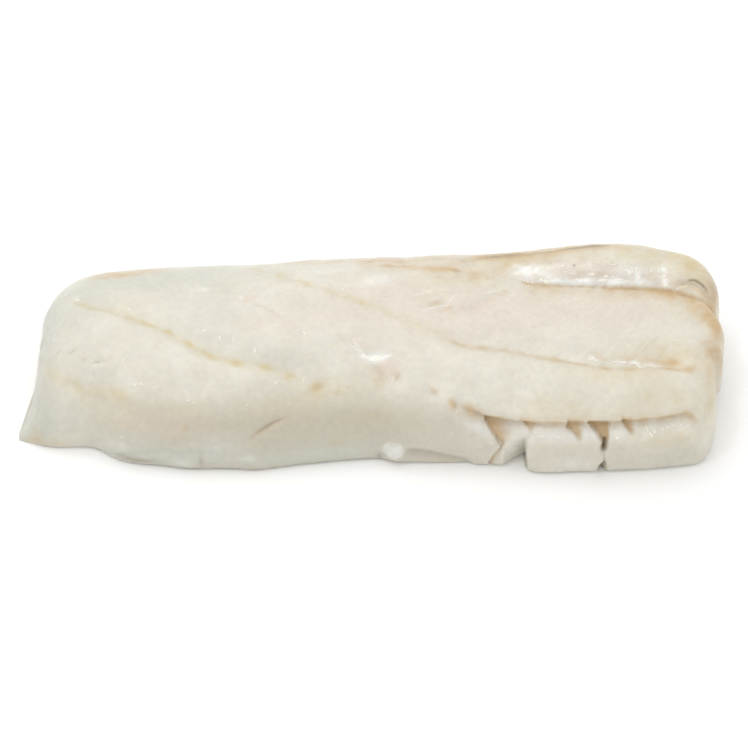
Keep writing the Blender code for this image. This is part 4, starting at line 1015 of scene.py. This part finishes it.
def fleshMaterial():
    look = fleshLook
    material, tree, shader = newMaterial("rawCodFlesh")
    place = addNode(tree, "ShaderNodeTexCoord")

    def noise(size, detail):
        return addNode(tree, "ShaderNodeTexNoise",
                       {"Vector": place.outputs["Object"], "Scale": 1 / (size * mm), "Detail": detail,
                        "Roughness": look["noiseRoughness"]}).outputs["Fac"]

    def ranged(value, known, wanted):
        return addNode(tree, "ShaderNodeMapRange",
                       {"Value": value, "From Min": known[0], "From Max": known[1], "To Min": wanted[0],
                        "To Max": wanted[1]}).outputs[0]

    def pattern(name):
        size, detail, known, wanted = look[name]
        return ranged(noise(size, detail), known, wanted)

    def attribute(name):
        return addNode(tree, "ShaderNodeAttribute", attribute_name=name).outputs["Fac"]

    def worked(operation, a, b):
        return addNode(tree, "ShaderNodeMath", {0: a, 1: b}, operation=operation, use_clamp=True).outputs[0]

    def mixed(share, a, b, blend="MIX"):
        return addNode(tree, "ShaderNodeMix", {0: share, 6: a, 7: b}, data_type="RGBA",
                       blend_type=blend).outputs[2]

    colour = mixed(pattern("mottle"), linear(look["cream"]), linear(look["creamLight"]))
    for mask, hexCode in look["masks"]:
        colour = mixed(attribute(mask), colour, linear(hexCode))
    for name, hexCode in (("clots", look["clotWhite"]), ("clearings", look["clearGrey"])):
        colour = mixed(worked("MULTIPLY", attribute("jelly"), pattern(name)), colour, linear(hexCode))
    stretch = addNode(tree, "ShaderNodeMapping",
                      {"Vector": place.outputs["UV"],
                       "Scale": (uvUnit / look["fibreWidth"], uvUnit / look["fibreLength"], 1)})
    fibreNoise = addNode(tree, "ShaderNodeTexNoise", {"Vector": stretch.outputs[0], "Scale": 1.0,
                                                      "Detail": look["fibreDetail"]}).outputs["Fac"]
    strokes = mixed(attribute("grain"), (1, 1, 1, 1), ranged(fibreNoise, *look["fibreStrokes"]))
    colour = mixed(1.0, colour, strokes, "MULTIPLY")
    colour = mixed(1.0, colour, pattern("cells"), "MULTIPLY")
    drier = worked("MULTIPLY", attribute("wet"), look["wetSmoothing"])
    fineBump = addNode(tree, "ShaderNodeBump", {"Height": noise(look["fineSize"], look["fineDetail"]),
                                                **look["fineBump"]})
    fibreBump = addNode(tree, "ShaderNodeBump", {"Height": fibreNoise, "Normal": fineBump.outputs[0],
                                                 **look["fibreBump"]})
    feed(tree, shader, {"Base Color": colour, "Roughness": worked("SUBTRACT", pattern("roughness"), drier),
                        "Normal": fibreBump.outputs[0], **look["shader"]})
    return material


def makeFlesh():
    skin, points = fleshPoints()
    columns, steps = len(skin.girthAxis), points.shape[1]
    uv = np.zeros(points.shape[:2] + (2,))
    uv[..., 0] = points[..., 0]
    uv[:, :columns, 0] -= fibreLean(skin)
    uv[:, :columns, 1] = skin.arc
    uv[:, columns:, 1] = skin.arc[:, -1:] + np.linspace(0, fineness["bottomLength"], steps - columns)
    mesh = ringMesh("flesh", points, uv, colourMasks(skin))
    mesh.materials.append(fleshMaterial())
    flesh = newObject("flesh", mesh)
    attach(flesh, "root")
    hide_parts("cod_fillet")
    print("flesh:", triangles(mesh), "triangles")
    return skin, points[:, :columns]


fleshSkin, upperSkin = makeFlesh()
outwardGrid = normalsOf(upperSkin)


def newTree(name, inputs):
    # a Geometry Nodes tree with named inputs: (label, socket type)
    tree = bpy.data.node_groups.new(name, "GeometryNodeTree")
    tree.interface.new_socket("Geometry", in_out="INPUT", socket_type="NodeSocketGeometry")
    for label, kind in inputs:
        tree.interface.new_socket(label, in_out="INPUT", socket_type=kind)
    tree.interface.new_socket("Geometry", in_out="OUTPUT", socket_type="NodeSocketGeometry")
    return tree, addNode(tree, "NodeGroupInput").outputs


def named(tree, name, kind):
    return addNode(tree, "GeometryNodeInputNamedAttribute", {"Name": name}, data_type=kind).outputs[0]


def finishTree(tree, geometry, material):
    # the tree's last nodes: real geometry, smooth shaded and in its material
    real = addNode(tree, "GeometryNodeRealizeInstances", {"Geometry": geometry})
    smooth = addNode(tree, "GeometryNodeSetShadeSmooth", {0: real.outputs[0]})
    dressed = addNode(tree, "GeometryNodeSetMaterial",
                      {"Geometry": smooth.outputs[0], "Material": material})
    addNode(tree, "NodeGroupOutput", {"Geometry": dressed.outputs[0]})


def growPiece(name, mesh, tree, values):
    # runs the tree on the mesh once and keeps the result as a plain mesh on the fillet
    piece = newObject(name, mesh)
    modifier = piece.modifiers.new(name, "NODES")
    modifier.node_group = tree
    sockets = {item.name: item.identifier for item in tree.interface.items_tree if item.in_out == "INPUT"}
    for label, value in values.items():
        modifier[sockets[label]] = value
    ready = piece.evaluated_get(bpy.context.evaluated_depsgraph_get())
    plain = bpy.data.meshes.new_from_object(ready)
    piece.modifiers.clear()
    piece.data = plain
    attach(piece, "root")
    print(name + ":", triangles(plain), "triangles")


def onSkin(x, girth):
    # place and outward direction at (X, girth), in mm
    rings, columns = upperSkin.shape[:2]
    i = np.interp(x, fleshSkin.x[:, 0], np.arange(rings))
    j = np.interp(girth, fleshSkin.girthAxis, np.arange(columns))
    low = np.minimum(np.floor(i).astype(int), rings - 2)
    left = np.minimum(np.floor(j).astype(int), columns - 2)
    fi, fj = (i - low)[:, None], (j - left)[:, None]

    def blend(grid):
        near = grid[low, left] * (1 - fj) + grid[low, left + 1] * fj
        return near * (1 - fi) + (grid[low + 1, left] * (1 - fj) + grid[low + 1, left + 1] * fj) * fi

    direction = blend(outwardGrid)
    return blend(upperSkin), direction / np.linalg.norm(direction, axis=1, keepdims=True)


# Wet white specks and beads, light in colour: most stand for glints of the wet flesh as painted
# highlights, some are specks of white membrane. (X, girth, half length, half width, half height, turn) in
# mm and degrees
beads = {
    "places": [(-86.1, 57.7, 0.5, 0.4, 0.2, 80), (-53.6, 40.7, 0.7, 0.25, 0.2, 95),
               (-48.8, 39.7, 0.8, 0.2, 0.2, 80), (-59, 45, 0.5, 0.3, 0.2, 30),
               (-24.1, 38.9, 0.9, 0.28, 0.2, 110), (-86.7, 32, 0.6, 0.25, 0.2, 75),
               (-80.1, 24, 0.5, 0.22, 0.14, -30), (-105.4, 65.7, 0.4, 0.4, 0.15, 0),
               (-64.0, 19.7, 0.5, 0.16, 0.1, -20), (-61.8, 19.0, 0.5, 0.16, 0.1, -20),
               (-46.6, 61.3, 0.6, 0.25, 0.15, 60), (-60, 67.2, 0.7, 0.25, 0.12, 0),
               (-33.7, 23, 0.5, 0.22, 0.14, 40), (-24.1, 23, 0.4, 0.25, 0.14, 90),
               (-41, 34.3, 0.5, 0.2, 0.15, 90), (-56.6, 43.3, 0.4, 0.2, 0.15, 60),
               (-10.8, 58.6, 0.35, 0.3, 0.15, 90), (-82.4, 23.6, 0.4, 0.25, 0.15, 10),
               (-84.5, 25.6, 0.3, 0.25, 0.15, 10), (-43.6, 17.9, 0.35, 0.14, 0.08, 20),
               (-87, 8.8, 0.4, 0.2, 0.08, 0), (-83, 8.2, 0.25, 0.14, 0.06, 0),
               (1.2, 27.0, 1.9, 1.4, 0.45, 0), (-2.7, 27.6, 1.4, 0.5, 0.35, -28),
               (4.5, 27.1, 1.1, 0.35, 0.3, 14), (75.0, 23.7, 0.6, 0.35, 0.2, 20),
               (86.4, 22.8, 0.7, 0.4, 0.22, 0), (91.4, 22.4, 0.8, 0.35, 0.2, -10),
               (57.8, 8.9, 0.5, 0.3, 0.18, -10), (60.4, 8.6, 0.35, 0.25, 0.15, 0),
               (63.4, 8.9, 0.5, 0.25, 0.15, -15), (55.4, 9.4, 0.3, 0.25, 0.15, 0),
               (83.7, 8.8, 0.6, 0.45, 0.22, 0), (93.9, 10.3, 0.3, 1.0, 0.2, 15),
               (95.3, 9.3, 0.8, 0.4, 0.25, -30), (96.5, 9.9, 0.3, 0.7, 0.2, 0),
               (99.3, 10.3, 0.6, 0.3, 0.2, 0), (103, 10.9, 0.4, 0.3, 0.18, 0),
               (105.6, 11.2, 0.35, 0.25, 0.15, 20), (108.0, 11, 0.5, 0.3, 0.18, 0),
               (101, 10.6, 0.3, 0.6, 0.2, 10), (40.8, 6.5, 0.2, 0.35, 0.06, 20),
               (52.4, 56, 0.4, 0.3, 0.25, 0), (53.6, 55.4, 0.35, 0.3, 0.25, 0),
               (54.8, 55.0, 0.3, 0.3, 0.2, 0), (56.4, 54.6, 0.35, 0.3, 0.25, 0),
               (59.6, 55.2, 0.5, 0.6, 0.3, 0), (61.4, 54.4, 1.0, 0.7, 0.35, -20),
               (62.4, 55.6, 0.4, 0.3, 0.2, 0), (67.4, 60, 0.5, 0.3, 0.2, 0),
               (72.2, 53.6, 0.6, 0.35, 0.2, 20), (77.7, 54.7, 0.7, 0.4, 0.2, 0),
               (81.2, 52.4, 1.4, 0.5, 0.35, 0), (82.4, 53.6, 0.7, 0.4, 0.3, 30),
               (84.9, 53.4, 0.4, 0.3, 0.2, 0), (87.6, 52.2, 0.6, 0.35, 0.25, 0),
               (89.8, 51.6, 0.5, 0.3, 0.25, 0), (94.8, 51.5, 0.6, 0.4, 0.25, 0),
               (94.0, 53.4, 0.4, 0.7, 0.15, 0), (103.2, 55.0, 0.4, 0.5, 0.15, 0),
               (103.8, 56.4, 0.3, 0.3, 0.2, 0), (98.6, 56.8, 0.3, 0.5, 0.2, 0),
               (103.4, 51.2, 0.6, 0.3, 0.15, 0), (107.4, 50.8, 0.4, 0.25, 0.15, 0)],
    "detail": 3,
    "sunk": 0.5,  # how far the middle lies under the skin, as a share of the half height
    "growth": (1.35, 1.2, 0.9),  # the half sizes above are multiplied by these
    "aheadStep": 0.5,  # to a second place on the skin that the long side points at
}

# Clear juice over white membrane, light in colour so that beads and threads also give painted highlights:
# the brightest small marks on the fillet
wetLook = {
    "Base Color": linear("#ebe6da"),
    "Roughness": 0.34,
    "Subsurface Weight": 0.1,
    "Subsurface Scale": 0.2 * mm,
}
wetMembraneAndGlints, wetTree, wetShader = newMaterial("wetMembraneAndGlints")
feed(wetTree, wetShader, wetLook)


def makeBeads():
    x, girth, half, wide, high, turn = np.array(beads["places"], float).T
    halfSizes = np.stack([half, wide, high], 1) * beads["growth"]
    place, outward = onSkin(x, girth)
    turn, step = np.radians(turn), beads["aheadStep"]
    ahead, _ = onSkin(x + step * np.cos(turn), girth + step * np.sin(turn))
    middles = place - outward * beads["sunk"] * halfSizes[:, 2:]
    mesh = bpy.data.meshes.new("wetBeadsAndGlints")
    mesh.from_pydata((middles * mm).tolist(), [], [])
    for name, values in (("outward", outward), ("ahead", ahead - place), ("halfSizes", halfSizes * mm)):
        layer = mesh.attributes.new(name, "FLOAT_VECTOR", "POINT")
        layer.data.foreach_set("vector", values.astype(np.float32).ravel())
    tree, given = newTree("beadsOnSkin", [("Detail", "NodeSocketInt"), ("Material", "NodeSocketMaterial")])
    outwards, aheads = named(tree, "outward", "FLOAT_VECTOR"), named(tree, "ahead", "FLOAT_VECTOR")
    ball = addNode(tree, "GeometryNodeMeshIcoSphere", {"Radius": 1.0, "Subdivisions": given["Detail"]})
    upright = addNode(tree, "FunctionNodeAlignRotationToVector", {"Vector": outwards}, axis="Z")
    turned = addNode(tree, "FunctionNodeAlignRotationToVector",
                     {"Rotation": upright.outputs[0], "Vector": aheads}, axis="X", pivot_axis="Z")
    placed = addNode(tree, "GeometryNodeInstanceOnPoints",
                     {"Points": given["Geometry"], "Instance": ball.outputs[0],
                      "Rotation": turned.outputs[0], "Scale": named(tree, "halfSizes", "FLOAT_VECTOR")})
    finishTree(tree, placed.outputs[0], given["Material"])
    growPiece("wetBeadsAndGlints", mesh, tree, {"Detail": beads["detail"], "Material": wetMembraneAndGlints})


# White threads of membrane lying on the flesh, some of them along the deep seam as its painted highlight:
# (X, girth) knots and the radius in mm
threads = {
    "lines": [
        ([(-9.6, 34.2), (-7.2, 31.6), (-5.6, 29.8), (-4.2, 28.6)], 0.18),
        ([(-7.6, 33.6), (-5.6, 31.2), (-4.0, 29.2), (-2.6, 27.6)], 0.22),
        ([(83.6, 59.8), (83.9, 58.4), (85.2, 57.8), (86.6, 58.6), (87.0, 60.0)], 0.22),
        ([(88.0, 55.2), (88.6, 56.8), (90.3, 57.3), (91.6, 56.8), (91.9, 55.2), (90.8, 53.8),
          (89.6, 53.5)], 0.26),
        ([(94.2, 57.4), (94.5, 55.8), (94.2, 54.2)], 0.16),
        ([(97.0, 58.0), (97.4, 56.4), (97.1, 55.0)], 0.16),
        ([(100.8, 58.4), (101.3, 57.0), (101.0, 55.6)], 0.16),
        ([(66.0, 58.4), (68.6, 57.2), (71.8, 57.4)], 0.12),
        ([(17.6, 43.9), (20, 44.0), (22.6, 44.4), (25.4, 44.7)], 0.13),
        ([(25.6, 44.9), (26.6, 46.6), (27.7, 48.4), (30.1, 49.5)], 0.12),
        ([(28.6, 44.2), (28.8, 42.7)], 0.16),
        ([(38.4, 48.4), (41.0, 49.0), (45.4, 51.0)], 0.1),
        # these four threads are the deep seam's wet streak: white membrane that also stands for its shine,
        # a painted highlight
        ([(73.6, 23.2), (74.6, 23.9), (75.6, 24.1), (76.2, 23.4), (77.6, 23.0)], 0.32),
        ([(81.4, 22.6), (84.0, 23.1), (86.4, 22.9), (88.6, 23.1), (90.4, 22.9)], 0.3),
        ([(87.6, 22.6), (90.0, 22.8), (91.6, 22.3), (92.8, 21.9), (94.0, 22.3)], 0.34),
        ([(93.2, 22.0), (95.2, 22.7), (96.8, 22.3), (98.8, 22.3), (100.4, 22.5)], 0.2),
        ([(73.8, 25.6), (75.0, 26.6), (76.2, 27.9)], 0.14),
        ([(83.8, 25.2), (85.4, 26.6), (87.0, 28.4)], 0.14),
        ([(92.2, 25.2), (94.0, 26.6), (95.6, 27.9), (98.6, 29.7), (102.6, 30.7)], 0.16),
        ([(100.6, 26.6), (103.6, 28.3), (107.4, 29.0)], 0.18),
    ],
    "step": 0.5,
    "sides": 8,
    "samples": 200,
    "taper": 0.04,  # share of the half wave that is left out at each end, so that no end is a point
    "uneven": 0.3,
    "unevenSize": 1.1,
    "seed": 71,
    "seedStep": 17,
}


def threadLine(knots, radius, row):
    # places along a thread at even steps, and its radius at each, in mm
    knotX, knotGirth = np.array(knots, float).T
    at = np.arange(len(knots), dtype=float)
    fine = np.linspace(0, at[-1], threads["samples"])
    x, girth = (smoothLine(np.stack([at, values], 1), fine) for values in (knotX, knotGirth))
    place, _ = onSkin(x, girth)
    walked = np.concatenate([[0], np.cumsum(np.linalg.norm(np.diff(place, axis=0), axis=1))])
    even = np.linspace(0, walked[-1], int(walked[-1] / threads["step"]) + 2)
    wave = threads["taper"] + (1 - 2 * threads["taper"]) * even / walked[-1]
    thin = radius * np.sqrt(np.sin(math.pi * wave))
    thin *= 1 + threads["uneven"] * lumps(even + row, even * 0, threads["unevenSize"], threads["seed"])
    return np.stack([np.interp(even, walked, place[:, i]) for i in range(3)], 1), thin


def makeThreads():
    # every thread is a row of edges, and the tree makes a tube of each
    places, links, widths = [], [], []
    for knots, radius in threads["lines"]:
        middle, thin = threadLine(knots, radius, threads["seedStep"] * len(links))
        first = len(places)
        places += (middle * mm).tolist()
        widths += (thin * mm).tolist()
        links += [(first + i, first + i + 1) for i in range(len(middle) - 1)]
    mesh = bpy.data.meshes.new("membraneAndGlintThreads")
    mesh.from_pydata(places, links, [])
    mesh.attributes.new("threadRadius", "FLOAT", "POINT").data.foreach_set("value", widths)
    tree, given = newTree("threadsOnSkin", [("Sides", "NodeSocketInt"), ("Material", "NodeSocketMaterial")])
    curve = addNode(tree, "GeometryNodeMeshToCurve", {"Mesh": given["Geometry"]})
    ring = addNode(tree, "GeometryNodeCurvePrimitiveCircle", {"Resolution": given["Sides"], "Radius": 1.0})
    tube = addNode(tree, "GeometryNodeCurveToMesh",
                   {"Curve": curve.outputs[0], "Profile Curve": ring.outputs[0], "Fill Caps": True,
                    "Scale": named(tree, "threadRadius", "FLOAT")})
    finishTree(tree, tube.outputs[0], given["Material"])
    growPiece("membraneAndGlintThreads", mesh, tree, {"Sides": threads["sides"], "Material": wetMembraneAndGlints})


makeBeads()
makeThreads()

studio = {
    "floorSide": 8.0,
    "floorLook": {"Base Color": linear("#fbfbfa"), "Roughness": 0.9, "Specular IOR Level": 0.1},
    "world": {"Color": linear("#ffffff"), "Strength": 0.98},
    "lamps": [("softboxBehind", 2.9, 0.9, (-0.25, 0.55, 0.95)),  # watts, side and place
              ("smallLampAbove", 0.9, 0.12, (-0.35, -0.25, 1.1))],
    "cameraElevation": 45.0,
    "cameraDistance": 1.0,
    "cameraAim": (-0.19, -5.09, 8.0),
    "sensorWidth": 36,
    "pixelsPerMm": 2.816,
    "pictureWidth": 748,
}


def makeFloor():
    # plain painted board, matt white
    side = studio["floorSide"] / 2
    mesh = bpy.data.meshes.new("floor")
    mesh.from_pydata([(-side, -side, 0), (side, -side, 0), (side, side, 0), (-side, side, 0)], [],
                     [(0, 1, 2, 3)])
    material, tree, shader = newMaterial("mattWhiteBoard")
    feed(tree, shader, studio["floorLook"])
    mesh.materials.append(material)
    newObject("floor", mesh)


def aimed(name, data, place, target):
    thing = newObject(name, data)
    thing.location = place
    thing.rotation_mode = "QUATERNION"
    thing.rotation_quaternion = (Vector(target) - Vector(place)).to_track_quat("-Z", "Y")
    return thing


def makeLights():
    world = bpy.data.worlds.new("softRoom")
    world.use_nodes = True
    feed(world.node_tree, world.node_tree.nodes["Background"], studio["world"])
    bpy.context.scene.world = world
    for name, power, size, place in studio["lamps"]:
        lamp = bpy.data.lights.new(name, "AREA")
        lamp.energy = power
        lamp.size = size
        aimed(name, lamp, place, (0, 0, 0))


def makeCamera():
    camera = bpy.data.cameras.new("camera")
    camera.sensor_width = studio["sensorWidth"]
    distance, elevation = studio["cameraDistance"], math.radians(studio["cameraElevation"])
    camera.lens = studio["pixelsPerMm"] * distance / mm * camera.sensor_width / studio["pictureWidth"]
    target = Vector(studio["cameraAim"]) * mm
    place = target + Vector((0, -math.cos(elevation), math.sin(elevation))) * distance
    bpy.context.scene.camera = aimed("camera", camera, place, target)


makeFloor()
makeLights()
makeCamera()
bpy.context.scene.view_settings.view_transform = "Standard"
print("floor, light and camera set")
